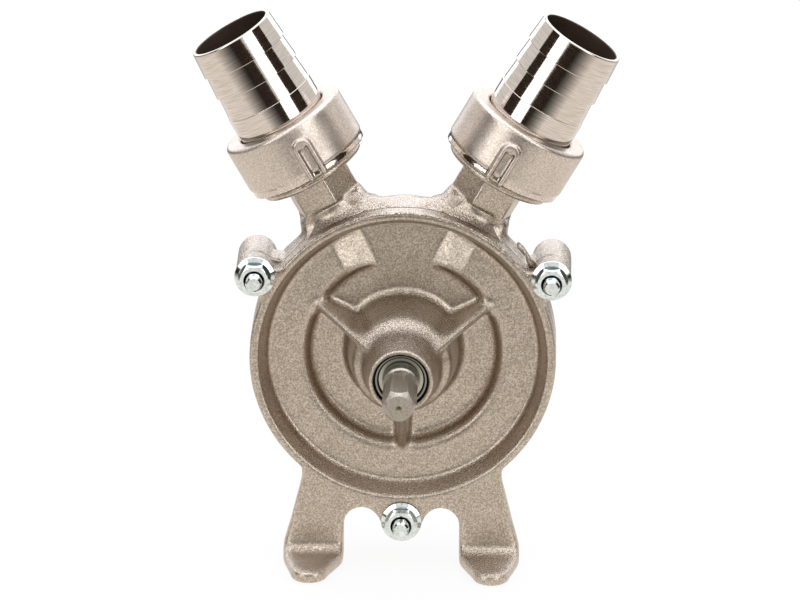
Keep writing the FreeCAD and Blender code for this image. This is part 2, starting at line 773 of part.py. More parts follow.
def rear_housing():
    """The cast rear housing: impeller chamber, stud bosses and two ports in a V."""
    body = new_body("rear_housing")
    front = housing_front
    sketch = new_sketch(body, "DrumProfile", "YZ_Plane")
    add_outline(sketch, [
        (front, 0),
        (front, size("housing_radius")),
        (housing_back, size("housing_radius"), "round", size("housing_edge_round")),
        (housing_back, 0),
    ])
    revolve(body, "Drum", sketch, "H_Axis")

    sketch = new_sketch(body, "StudBossOutline", "XZ_Plane", shift=(0, 0, -size("boss_back_depth")))
    add_circle(sketch, 0, -size("stud_circle_radius"), size("ear_radius"))
    boss = extrude(body, "StudBoss", sketch, size("boss_back_depth") - front)
    sketch = new_sketch(body, "BossWebOutline", "XZ_Plane", shift=(0, 0, -size("boss_web_depth")))
    web, web_round = size("boss_web_width") / 2, size("boss_web_round")
    root = size("housing_radius") - size("back_wall")
    add_outline(sketch, [
        (-web - web_round / 2, -root),
        (-web, -size("boss_web_reach")),
        (web, -size("boss_web_reach"), "arc", -web_round * 2),
        (web + web_round / 2, -root),
    ])
    boss_web = extrude(body, "BossWeb", sketch, size("boss_web_depth") - front)
    repeat(body, "StudBosses", [boss, boss_web], "Y_Axis", size("rib_count"))

    lip_top = size("lip_level") + size("lip_height")
    for name, side in port_sides.items():
        angle = size("port_angle") * side
        title = name.title()
        start = size("neck_level")
        sideways, upwards = port_shift(start)
        sketch = new_sketch(body, f"{title}NeckOutline", "XY_Plane", (back, angle),
                            (sideways * side, 0, upwards))
        first_angle = term(upright) - size("neck_turn") * side
        add_outline(sketch, hexagon(size("neck_flats"), first_angle, 0, size("port_depth")))
        extrude(body, f"{title}Neck", sketch, size("lip_level") - start + size("lip_chamfer"))
        neck_root(body, title, side)
        sketch = new_sketch(body, f"{title}PortProfile", "XZ_Plane", (upward, -angle),
                            (0, size("port_rise"), -size("port_depth")))
        add_outline(sketch, [
            (0, size("neck_root_level")),
            (neck_root_half, size("neck_root_level")),
            (neck_root_half, start),
            (size("neck_flats") / 2, start),
            (size("neck_flats") / 2, size("lip_level")),
            (size("lip_radius") - size("lip_chamfer"), size("lip_level")),
            (size("lip_radius"), size("lip_level") + size("lip_chamfer")),
            (size("lip_radius"), lip_top - size("lip_chamfer")),
            (size("lip_radius") - size("lip_chamfer"), lip_top),
            (size("thread_radius"), lip_top),
            (size("thread_radius"), port_end - size("thread_chamfer")),
            (size("thread_radius") - size("thread_chamfer"), port_end),
            (0, port_end),
        ])
        revolve(body, f"{title}Port", sketch, "V_Axis")

    sketch = new_sketch(body, "ChamberProfile", "YZ_Plane")
    spigot_stop = running_face + size("spigot_clearance")
    add_outline(sketch, [
        (front - overrun, 0),
        (front - overrun, spigot_seat),
        (spigot_stop, spigot_seat),
        (spigot_stop, size("chamber_radius")),
        (chamber_back, size("chamber_radius")),
        (chamber_back, 0),
    ])
    revolve(body, "Chamber", sketch, "H_Axis", cut=True)

    for name, side in port_sides.items():
        angle = size("port_angle") * side
        sketch = new_sketch(body, f"{name.title()}BoreProfile", "XZ_Plane", (upward, -angle),
                            (0, size("port_rise"), -size("port_depth")))
        bore_step = size("port_bore_radius") - size("port_window_radius")
        add_outline(sketch, [
            (0, channel_inner),
            (size("port_window_radius"), channel_inner),
            (size("port_window_radius"), size("neck_level")),
            (size("port_bore_radius"), size("neck_level") + bore_step),
            (size("port_bore_radius"), port_end - size("thread_chamfer") * 2),
            (size("port_bore_radius") + size("thread_chamfer") * 2, port_end),
            (size("port_bore_radius") + size("thread_chamfer") * 2, port_end + overrun),
            (0, port_end + overrun),
        ])
        revolve(body, f"{name.title()}Bore", sketch, "V_Axis", cut=True)

    sketch = new_sketch(body, "TappedHoleOutline", "XZ_Plane", shift=(0, 0, -front + overrun))
    add_circle(sketch, 0, -size("stud_circle_radius"),
               size("stud_radius") + size("tapped_hole_clearance"))
    hole = extrude(body, "TappedHole", sketch, size("stud_bury") + overrun * 2, cut=True)
    repeat(body, "TappedHoles", [hole], "Y_Axis", size("rib_count"))
    on_shaft(body)
    return body


def neck_root(body, title, side):
    """The foot of a port's neck: as wide as the hexagon, set back in front, with flared flanks."""
    half = hexagon_corner(size("neck_flats"))
    sideways, upwards = port_shift(size("neck_root_level"))
    angle = size("port_angle") * side
    sketch = new_sketch(body, f"{title}RootOutline", "XY_Plane", (back, angle),
                        (sideways * side, 0, upwards))
    front, rear = size("port_depth") - neck_root_half, size("port_depth") + neck_root_half
    add_outline(sketch, [
        (-half, front),
        (half, front),
        (half, rear, "round", size("neck_root_round")),
        (-half, rear, "round", size("neck_root_round")),
    ])
    extrude(body, f"{title}Root", sketch, size("neck_level") - size("neck_root_level"))
    flank, foot = size("neck_flank_round"), size("neck_flank_level")
    sketch = new_sketch(body, f"{title}FlankOutline", "XZ_Plane", (upward, -angle),
                        (0, size("port_rise"), -size("port_depth")))
    add_outline(sketch, [
        (half + flank, size("neck_root_level")),
        (half + flank, foot, "arc", -flank),
        (half, foot + flank),
        (-half, foot + flank, "arc", -flank),
        (-half - flank, foot),
        (-half - flank, size("neck_root_level")),
    ])
    extrude(body, f"{title}Flanks", sketch, neck_root_half)


def ring_solid(label, corners, axis="H_Axis", role="YZ_Plane", angle=None):
    """A turned piece in a body of its own."""
    body = new_body(label)
    sketch = new_sketch(body, "Profile", role)
    add_outline(sketch, corners)
    revolve(body, "Turned", sketch, axis, angle)
    return body


def cover_gasket():
    """The flat gasket between the cover's flange and the housing."""
    margin = size("cover_gasket_margin")
    body = ring_solid("cover_gasket", [
        (size("flange_thickness"), spigot_seat),
        (size("flange_thickness"), size("housing_radius") - margin),
        (housing_front, size("housing_radius") - margin),
        (housing_front, spigot_seat),
    ])
    on_shaft(body)


def compound(label, pieces):
    """One node that holds several like solids."""
    group = document.addObject("Part::Compound", label)
    group.Label = label
    group.Links = pieces
    return group


def around_shaft(body, angle, radius):
    """Places a body whose own +Y lies along the shaft at a point of a circle about it."""
    bind(body, "Placement.Base.x", radius * cosine(angle))
    bind(body, "Placement.Base.y", size("rim_plane_y"))
    bind(body, "Placement.Base.z", size("shaft_height") + radius * sine(angle))


# One stud at the bottom, which is three quarters of a turn from +X, and the rest evenly round
stud_step = full_turn / sizes["rib_count"]
stud_angles = [term(full_turn * 3 / 4 + stud_step * turn) for turn in range(sizes["rib_count"])]


def studs():
    """Three studs screwed into the housing, with chamfered ends."""
    pieces = []
    for number, angle in enumerate(stud_angles, start=1):
        chamfer = size("stud_tip_chamfer")
        front = -size("stud_reach")
        rear = housing_front + size("stud_bury")
        body = ring_solid(f"stud_{number}", [
            (front, 0),
            (front, size("stud_radius") - chamfer),
            (front + chamfer, size("stud_radius")),
            (rear - chamfer, size("stud_radius")),
            (rear, size("stud_radius") - chamfer),
            (rear, 0),
        ])
        around_shaft(body, angle, size("stud_circle_radius"))
        pieces.append(body)
    return compound("studs", pieces)


def flange_nuts():
    """Three hexagon nuts with a round flange, seated on the ears."""
    pieces = []
    bore = size("stud_radius") + size("nut_bore_clearance")
    corner = hexagon_corner(size("nut_flats"))
    for number, angle in enumerate(stud_angles, start=1):
        body = new_body(f"flange_nut_{number}")
        sketch = new_sketch(body, "HexOutline", "XZ_Plane")
        add_outline(sketch, hexagon(size("nut_flats"), 0))
        extrude(body, "Hex", sketch, size("nut_height"))
        sketch = new_sketch(body, "CrownProfile", "YZ_Plane")
        crown = corner - size("nut_flats") / 2
        add_outline(sketch, [
            (-size("nut_height") - overrun, size("nut_flats") / 2),
            (-size("nut_height"), size("nut_flats") / 2),
            (-size("nut_height") + crown, corner + crown),
            (-size("nut_height") - overrun, corner + crown),
        ])
        revolve(body, "Crown", sketch, "H_Axis", cut=True)
        sketch = new_sketch(body, "FlangeProfile", "YZ_Plane")
        add_outline(sketch, [
            (0, 0),
            (0, size("nut_flange_radius")),
            (-size("nut_flange_rim"), size("nut_flange_radius")),
            (-size("nut_flange_rise"), corner),
            (-size("nut_flange_rise"), 0),
        ])
        revolve(body, "Flange", sketch, "H_Axis")
        sketch = new_sketch(body, "BoreProfile", "YZ_Plane")
        add_outline(sketch, [
            (overrun, 0),
            (overrun, bore),
            (-size("nut_height") + size("stud_tip_chamfer"), bore),
            (-size("nut_height"), bore + size("stud_tip_chamfer")),
            (-size("nut_height") - overrun, bore + size("stud_tip_chamfer")),
            (-size("nut_height") - overrun, 0),
        ])
        revolve(body, "Bore", sketch, "H_Axis", cut=True)
        around_shaft(body, angle, size("stud_circle_radius"))
        pieces.append(body)
    return compound("flange_nuts", pieces)


def ball_bearing(prefix, front):
    """A shielded ball bearing: two grooved rings, balls, cage and two shields."""
    bore = size("journal_radius") + size("seat_clearance")
    outside = size(f"{prefix}_radius")
    width = size(f"{prefix}_width")
    inner_land = size(f"{prefix}_inner_land")
    outer_land = size(f"{prefix}_outer_land")
    ball = size(f"{prefix}_ball_radius")
    groove = ball + size("ball_clearance")
    pitch = (inner_land + outer_land) / 2
    middle = front + width / 2
    rear = front + width
    edge = size("bearing_edge_chamfer")
    for label, near_face, land, edge_corner in (
            (f"{prefix}_inner_ring", bore, inner_land, False),
            (f"{prefix}_outer_ring", outside, outer_land, True)):
        reach = land - pitch if edge_corner else pitch - land
        half = Term(math.sqrt(groove.value ** 2 - reach.value ** 2),
                    f"sqrt({groove.text} * {groove.text} - {reach.text} * {reach.text})")
        turn = -groove if edge_corner else groove
        inset = -edge if edge_corner else edge
        body = ring_solid(label, [
            (front + edge, near_face),
            (front, near_face + inset),
            (front, land),
            (middle - half, land, "arc", turn),
            (middle + half, land),
            (rear, land),
            (rear, near_face + inset),
            (rear - edge, near_face),
        ])
        on_shaft(body)
    balls = []
    count = sizes[f"{prefix}_ball_count"]
    for number in range(count):
        sphere = document.addObject("Part::Sphere", f"{prefix}_ball_{number + 1}")
        bind(sphere, "Radius", ball)
        angle = term(full_turn) * number / size(f"{prefix}_ball_count")
        bind(sphere, "Placement.Base.x", pitch * cosine(angle))
        bind(sphere, "Placement.Base.y", size("rim_plane_y") + middle)
        bind(sphere, "Placement.Base.z", size("shaft_height") + pitch * sine(angle))
        balls.append(sphere)
    compound(f"{prefix}_balls", balls)

    cage = new_body(f"{prefix}_cage")
    half_height = ball + size("cage_clearance") + size("cage_side")
    sketch = new_sketch(cage, "CageProfile", "YZ_Plane")
    add_outline(sketch, [
        (middle - half_height, pitch - size("cage_wall") / 2),
        (middle - half_height, pitch + size("cage_wall") / 2),
        (middle + half_height, pitch + size("cage_wall") / 2),
        (middle + half_height, pitch - size("cage_wall") / 2),
    ])
    revolve(cage, "Band", sketch, "H_Axis")
    sketch = new_sketch(cage, "PocketOutline", "XY_Plane", (back, term(90)))
    add_circle(sketch, 0, middle, ball + size("cage_clearance"))
    pocket = extrude(cage, "BallPocket", sketch, outside, cut=True, flip=True)
    repeat(cage, "BallPockets", [pocket], "Y_Axis", size(f"{prefix}_ball_count"))
    on_shaft(cage)

    shields = []
    inset = size("shield_recess")
    thick = size("shield_thickness")
    for face, start in (("front", front + inset), ("rear", rear - inset - thick)):
        body = ring_solid(f"{prefix}_{face}_shield", [
            (start, inner_land + size("shield_clearance")),
            (start, outer_land - size("seat_clearance")),
            (start + thick, outer_land - size("seat_clearance")),
            (start + thick, inner_land + size("shield_clearance")),
        ])
        on_shaft(body)
        shields.append(body)
    compound(f"{prefix}_shields", shields)


def snap_ring(label, seat_radius, front):
    """A split ring of flat wire sprung into a groove of the cover."""
    gap = size("snap_ring_clearance")
    outer = seat_radius + size("snap_ring_bite") - gap
    rear = front + size("snap_ring_wire") - gap
    sweep = term(full_turn) - size("snap_ring_gap_angle")
    body = ring_solid(label, [
        (front + gap, outer),
        (front + gap, outer - size("snap_ring_wire") - size("snap_ring_bite")),
        (rear, outer - size("snap_ring_wire") - size("snap_ring_bite")),
        (rear, outer),
    ], angle=sweep)
    on_shaft(body)
    return body


def shaft_seal():
    """The lip seal behind the inner bearing, and the spring around its lip."""
    rear = running_face - size("seal_back_gap")
    front = rear - size("seal_width")
    outer = size("inner_bearing_radius")
    lip = size("journal_radius") + size("seal_lip_clearance")
    wall = size("seal_wall")
    spring_middle = rear - size("seal_width") / 2 + size("seal_spring_radius")
    spring_ring = size("seal_spring_ring")
    lip_top = spring_ring - size("seal_spring_radius") - size("seal_lip_clearance")
    body = ring_solid("shaft_seal", [
        (front, outer),
        (front, lip + wall),
        (front + wall, lip + wall),
        (spring_middle - wall / 2, lip),
        (spring_middle + wall, lip + wall / 3),
        (spring_middle + wall, lip_top),
        (spring_middle - wall, lip_top),
        (front + wall, outer - wall),
        (rear, outer - wall),
        (rear, outer),
    ])
    on_shaft(body)
    spring = document.addObject("Part::Torus", "seal_spring")
    spring.Label = "seal_spring"
    bind(spring, "Radius1", spring_ring)
    bind(spring, "Radius2", size("seal_spring_radius"))
    spring.Placement = FreeCAD.Placement(
        FreeCAD.Vector(0, 0, 0), FreeCAD.Rotation(across, 90))
    bind(spring, "Placement.Base.y", size("rim_plane_y") + spring_middle)
    bind(spring, "Placement.Base.z", size("shaft_height"))


def key_slot(body, name, reach, width, front, rear, cut):
    """A straight key or keyway above the shaft axis, up to a height above it."""
    bottom, top = reach
    sketch = new_sketch(body, f"{name}Outline", "YZ_Plane")
    add_outline(sketch, [(front, bottom), (rear, bottom), (rear, top), (front, top)])
    return extrude(body, name, sketch, width, cut=cut, both=True)


key_bottom = size("journal_radius") - size("key_in_shaft")
key_top = key_bottom + size("key_height")
impeller_front = running_face + size("impeller_side_gap")
impeller_rear = impeller_front + size("impeller_width")


def drive_shaft():
    """The shaft: a journal in both bearings and the impeller, a round collar and a hexagonal shank."""
    body = new_body("drive_shaft")
    collar_back = -(size("nose_bearing_reach") + size("collar_gap"))
    collar_front = -size("collar_reach")
    tip = -size("shank_tip_reach")
    sketch = new_sketch(body, "ShankOutline", "XZ_Plane", shift=(0, 0, -collar_front))
    add_outline(sketch, hexagon(size("shank_flats"), 0))
    extrude(body, "Shank", sketch, collar_front - tip)
    sketch = new_sketch(body, "TipProfile", "YZ_Plane")
    corner = hexagon_corner(size("shank_flats"))
    slope = (corner - size("shank_tip_radius")) / (size("shank_tip_reach") - size("shank_reach"))
    add_outline(sketch, [
        (tip - overrun, size("shank_tip_radius") - slope * overrun),
        (tip - overrun, corner + overrun),
        (-size("shank_reach") + overrun, corner + slope * overrun),
    ])
    revolve(body, "Tip", sketch, "H_Axis", cut=True)
    sketch = new_sketch(body, "JournalProfile", "YZ_Plane")
    add_outline(sketch, [
        (collar_front, 0),
        (collar_front, size("collar_radius") - size("collar_chamfer")),
        (collar_front + size("collar_chamfer"), size("collar_radius")),
        (collar_back, size("collar_radius")),
        (collar_back, size("journal_radius")),
        (impeller_rear, size("journal_radius")),
        (impeller_rear, 0),
    ])
    revolve(body, "Journal", sketch, "H_Axis")
    sketch = new_sketch(body, "CentreProfile", "YZ_Plane")
    add_outline(sketch, [
        (tip - overrun, 0),
        (tip - overrun, size("centre_drill_radius")),
        (tip, size("centre_drill_radius")),
        (tip + size("centre_drill_depth"), 0),
    ])
    revolve(body, "CentreDrilling", sketch, "H_Axis", cut=True)
    gap = size("key_clearance")
    key_slot(body, "Keyway", (key_bottom - gap, size("journal_radius") + overrun),
             size("key_width") + gap * 2, impeller_front, impeller_rear + overrun, True)
    on_shaft(body)


def impeller():
    """The star impeller: a keyed hub with straight open blades that run past the side channel."""
    body = new_body("impeller")
    middle = (impeller_front + impeller_rear) / 2
    half_web = size("impeller_hub_thickness") / 2
    tip = size("chamber_radius") - size("impeller_tip_gap")
    sketch = new_sketch(body, "HubProfile", "YZ_Plane")
    add_outline(sketch, [
        (impeller_front, 0),
        (impeller_front, size("impeller_hub_radius")),
        (impeller_rear, size("impeller_hub_radius")),
        (impeller_rear, 0),
    ])
    revolve(body, "Hub", sketch, "H_Axis")
    sketch = new_sketch(body, "BladeOutline", "XZ_Plane", shift=(0, 0, -impeller_rear))
    half = size("blade_thickness") / 2
    root = size("impeller_hub_radius") - size("blade_thickness")
    add_outline(sketch, [(-half, root), (half, root), (half, tip), (-half, tip)])
    blade = extrude(body, "Blade", sketch, size("impeller_width"))
    repeat(body, "Blades", [blade], "Y_Axis", size("blade_count"))
    for name, face, web in (
            ("FrontRelief", impeller_front - overrun, middle - half_web),
            ("RearRelief", impeller_rear + overrun, middle + half_web)):
        sketch = new_sketch(body, f"{name}Profile", "YZ_Plane")
        add_outline(sketch, [
            (face, size("impeller_core_radius")),
            (face, size("impeller_hub_radius") - size("blade_thickness") * 2),
            (web, size("impeller_hub_radius") - size("blade_thickness") * 2),
            (web, size("impeller_core_radius")),
        ])
        revolve(body, name, sketch, "H_Axis", cut=True)
    sketch = new_sketch(body, "BalanceHoleOutline", "XZ_Plane", shift=(0, 0, -impeller_front + overrun))
    add_circle(sketch, 0, size("balance_hole_circle"), size("balance_hole_radius"))
    hole = extrude(body, "BalanceHole", sketch, size("impeller_width") + overrun * 2, cut=True)
    repeat(body, "BalanceHoles", [hole], "Y_Axis", size("balance_hole_count"))
    sketch = new_sketch(body, "BoreProfile", "YZ_Plane")
    bore = size("journal_radius") + size("impeller_bore_clearance")
    add_outline(sketch, [
        (impeller_front - overrun, 0),
        (impeller_front - overrun, bore),
        (impeller_rear + overrun, bore),
        (impeller_rear + overrun, 0),
    ])
    revolve(body, "Bore", sketch, "H_Axis", cut=True)
    gap = size("key_clearance")
    key_slot(body, "Keyway", (term(0), key_top + gap), size("key_width") + gap * 2,
             impeller_front - overrun, impeller_rear + overrun, True)
    on_shaft(body)


def impeller_key():
    """The parallel key between shaft and impeller."""
    body = new_body("impeller_key")
    gap = size("key_clearance")
    key_slot(body, "Key", (key_bottom, key_top), size("key_width"),
             impeller_front + gap, impeller_rear, False)
    on_shaft(body)


def arch(width, bottom, top):
    """An upright strip of this width with a half-round top."""
    half = width / 2
    return [
        (half, bottom),
        (half, top - half, "arc", half),
        (0, top, "arc", half),
        (-half, top - half),
        (-half, bottom),
    ]


def port_pieces(name, side):
    """The gasket, hose tail and ring nut of one port, each turned about the port's axis."""
    body = ring_solid(f"{name}_port_gasket", [
        (size("tail_bore_radius"), port_end),
        (size("tail_flange_radius"), port_end),
        (size("tail_flange_radius"), gasket_top),
        (size("tail_bore_radius"), gasket_top),
    ], axis="V_Axis", role="XZ_Plane")
    on_port(body, side)

    barb_root = tail_tip - size("tail_nose_length")
    barbs = [(size("tail_land_radius"), barb_root - size("barb_pitch") * 3)]
    for number in (3, 2, 1):
        level = barb_root - size("barb_pitch") * number
        end = tail_tip - size("tail_tip_chamfer") if number == 1 else level + size("barb_pitch")
        barbs.append((size("barb_top_radius"), level))
        barbs.append((size("barb_foot_radius"), end))
    body = ring_solid(f"{name}_hose_tail", [
        (size("tail_bore_radius"), tail_flange_bottom),
        (size("tail_flange_radius"), tail_flange_bottom),
        (size("tail_flange_radius"), tail_flange_top),
        (size("tail_neck_radius"), tail_flange_top),
        (size("tail_neck_radius"), tail_flange_top + size("tail_neck_length")),
        (size("tail_land_radius"), tail_flange_top + size("tail_neck_length")),
        *barbs,
        (size("barb_foot_radius") - size("tail_tip_chamfer"), tail_tip),
        (size("tail_bore_radius"), tail_tip),
    ], axis="V_Axis", role="XZ_Plane")
    on_port(body, side)

    clearance = size("union_clearance")
    bore = size("thread_radius") + clearance
    hole = size("tail_neck_radius") + clearance
    band = size("ring_band_step")
    body = ring_solid(f"{name}_ring_nut", [
        (bore, ring_bottom),
        (size("ring_radius") - band, ring_bottom),
        (size("ring_radius") - band, ring_bottom + size("ring_band_height")),
        (size("ring_radius"), ring_bottom + size("ring_band_height") + band),
        (size("ring_radius"), ring_top, "round", size("ring_top_round")),
        (hole, ring_top, "round", size("ring_hole_round")),
        (hole, ring_shoulder),
        (bore, ring_shoulder),
    ], axis="V_Axis", role="XZ_Plane")
    turn = size(f"{name}_lug_angle")
    lug_top = ring_top - size("ring_lug_top")
    lug_width = size("ring_lug_width")
    floor = size("ring_radius") - size("ring_lug_floor")
    crest = size("ring_radius") + size("ring_lug_rise")
    pocket_width = lug_width - size("ring_lug_wall") * 2
    pocket_top = lug_top - size("ring_lug_wall")
    pip = size("ring_lug_pip_radius")
    pads = []
    for part, radius in (("Lug", floor), ("Pocket", crest), ("Pip", floor)):
        sketch = new_sketch(body, f"{part}Outline", "XZ_Plane", (back, turn),
                            (radius * sine(turn), 0, radius * cosine(turn)))
        if part == "Lug":
            add_outline(sketch, arch(lug_width, ring_bottom, lug_top))
            pads.append(extrude(body, part, sketch, crest - floor))
        elif part == "Pocket":
            add_outline(sketch, arch(pocket_width, ring_bottom - overrun, pocket_top))
            pads.append(extrude(body, part, sketch, crest - floor, cut=True))
        else:
            add_circle(sketch, 0, pocket_top - pip, pip)
            pads.append(extrude(body, part, sketch, size("ring_lug_rise")))
    repeat(body, "Lugs", pads, "Z_Axis", size("ring_lug_count"))
    on_port(body, side)


front_cover()
rear_housing()
cover_gasket()
studs()
flange_nuts()
nose_front = -size("nose_bearing_reach")
ball_bearing("nose_bearing", nose_front)
ball_bearing("inner_bearing", size("inner_bearing_front_depth"))
snap_ring("nose_snap_ring", size("nose_bearing_radius"), nose_front - size("snap_ring_wire"))
snap_ring("inner_snap_ring", size("inner_bearing_radius"), inner_bearing_back)
shaft_seal()
drive_shaft()
impeller()
impeller_key()
for port_name, port_side in port_sides.items():
    port_pieces(port_name, port_side)
document.recompute()

nodes = [
    "front_cover", "rear_housing", "cover_gasket", "studs", "flange_nuts",
    "nose_bearing_inner_ring", "nose_bearing_outer_ring", "nose_bearing_balls",
    "nose_bearing_cage", "nose_bearing_shields",
    "inner_bearing_inner_ring", "inner_bearing_outer_ring", "inner_bearing_balls",
    "inner_bearing_cage", "inner_bearing_shields",
    "nose_snap_ring", "inner_snap_ring", "shaft_seal", "seal_spring",
    "drive_shaft", "impeller", "impeller_key",
    "left_port_gasket", "right_port_gasket", "left_hose_tail", "right_hose_tail",
    "left_ring_nut", "right_ring_nut",
]

for item in document.Objects:
    for state in ("Invalid", "Error"):
        if state in item.State:
            raise RuntimeError(f"{item.Label} is {state}")
shapes = {}
for node in nodes:
    shape = document.getObjectsByLabel(node)[0].Shape
    if shape.isNull() or not shape.isValid() or not shape.Solids:
        raise RuntimeError(f"{node} has no valid solid")
    shapes[node] = shape

os.makedirs("parts", exist_ok=True)
for node, shape in shapes.items():
    shape.exportStep(f"parts/{node}.step")
    box = shape.BoundBox
    print(f"{node}: {len(shape.Solids)} solid(s), {shape.Volume:.0f} mm3, "
          f"x {box.XMin:.1f} {box.XMax:.1f}, y {box.YMin:.1f} {box.YMax:.1f}, "
          f"z {box.ZMin:.1f} {box.ZMax:.1f}")
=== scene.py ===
import json
import math

import bpy
from mathutils import Matrix, Vector, noise


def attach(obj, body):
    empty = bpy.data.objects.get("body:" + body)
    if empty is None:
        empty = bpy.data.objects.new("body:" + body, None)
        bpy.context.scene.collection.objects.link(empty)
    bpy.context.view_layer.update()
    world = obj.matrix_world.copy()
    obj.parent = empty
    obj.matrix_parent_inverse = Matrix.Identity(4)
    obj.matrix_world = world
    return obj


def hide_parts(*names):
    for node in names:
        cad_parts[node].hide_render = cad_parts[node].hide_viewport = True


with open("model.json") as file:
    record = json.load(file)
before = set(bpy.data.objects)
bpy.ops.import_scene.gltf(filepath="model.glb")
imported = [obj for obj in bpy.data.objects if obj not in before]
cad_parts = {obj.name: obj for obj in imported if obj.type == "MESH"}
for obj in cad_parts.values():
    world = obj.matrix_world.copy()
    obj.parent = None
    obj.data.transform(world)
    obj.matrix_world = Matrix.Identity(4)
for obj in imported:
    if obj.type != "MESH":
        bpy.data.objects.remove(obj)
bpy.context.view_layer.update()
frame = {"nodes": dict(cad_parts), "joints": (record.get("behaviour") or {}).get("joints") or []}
print("frame loaded:", len(frame["nodes"]), "nodes")

mm = 0.001
nodes = frame["nodes"]
joints = {joint["name"]: joint for joint in frame["joints"]}
shaftMm = Vector(joints["shaft_spin"]["pos_m"]) / mm
backward = Vector((0, 1, 0))  # along the shaft, away from the viewer
noiseSpan = {"From Min": 0.3, "From Max": 0.7}  # where most of a noise texture's values lie


def linear(code):  # sRGB hex to linear colour
    parts = [int(code[i:i + 2], 16) / 255 for i in (0, 2, 4)]
    return [p / 12.92 if p <= 0.04045 else ((p + 0.055) / 1.055) ** 2.4 for p in parts] + [1.0]


# A node with its settings and links. Inputs are named, or in order where sockets share a name.
def addNode(tree, kind, inputs=(), stops=(), **settings):
    node = tree.nodes.new(kind)
    for name, value in settings.items():
        setattr(node, name, value)
    free = [socket for socket in node.inputs if socket.enabled]
    if isinstance(inputs, dict):
        pairs = [(next(s for s in free if s.name == name), inputs[name]) for name in inputs]
    else:
        pairs = zip(free, inputs)
    for socket, value in pairs:
        if isinstance(value, bpy.types.NodeSocket):
            tree.links.new(value, socket)
        else:
            socket.default_value = value
    for index, (place, code) in enumerate(stops):
        elements = node.color_ramp.elements
        element = elements[index] if index < len(elements) else elements.new(place)
        element.position = place
        element.color = linear(code)
    return node


def emptyTree(owner):  # a material's or the world's nodes, with none in place
    owner.use_nodes = True
    owner.node_tree.nodes.clear()
    return owner.node_tree


def newMaterial(name, shader):  # one Principled shader on an empty tree
    material = bpy.data.materials.new(name)
    tree = emptyTree(material)
    body = addNode(tree, "ShaderNodeBsdfPrincipled", shader)
    addNode(tree, "ShaderNodeOutputMaterial", {"Surface": body.outputs["BSDF"]})
    return material, tree, body


def feed(tree, body, results):  # textures into the shader's sockets
    for name, socket in results.items():
        tree.links.new(socket, body.inputs[name])


def paint(material, *names):  # on CAD objects
    for name in names:
        nodes[name].data.materials.clear()
        nodes[name].data.materials.append(material)


def tubeFaces(rows, around, flipped=False):  # joins rings of points, and closes both ends
    faces = []
    for low in range(0, (rows - 1) * around, around):
        for step in range(around):
            after = (step + 1) % around
            faces.append((low + step, low + around + step, low + around + after, low + after))
    faces.append(tuple(range(around)))
    faces.append(tuple(reversed(range((rows - 1) * around, rows * around))))
    return [face[::-1] for face in faces] if flipped else faces


def addPiece(name, points, faces, material, body):
    mesh = bpy.data.meshes.new(name)
    mesh.from_pydata(points, [], faces)
    mesh.validate()
    mesh.polygons.foreach_set("use_smooth", [True] * len(mesh.polygons))
    mesh.materials.append(material)
    piece = bpy.data.objects.new(name, mesh)
    bpy.context.scene.collection.objects.link(piece)
    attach(piece, body)
    return piece


# Castings: a sand-cast form under satin nickel.

castSkin = {
    "grainMm": 0.55, "grainHeightMm": 0.055, "pebbleMm": 1.4, "pebbleHeightMm": 0.05,
    "waveMm": 11.0, "waveHeightMm": 0.10, "roughLow": 0.28, "roughHigh": 0.40,
    "crustFrom": 0.2, "crustTo": 0.8, "crustHeightMm": 0.42, "crustShine": 0.17,
    "dark": (0.36, "A0968A"), "face": (0.50, "BDB2A5"), "bright": (0.66, "DDD5CB"),
    # the hollow, flat and edge tones paint highlight on edges and in hollows, where light catches
    "hollow": (0.43, "F7F4F0"), "flat": (0.495, "F0ECE8"), "edge": (0.56, "FFFFFF"),
}


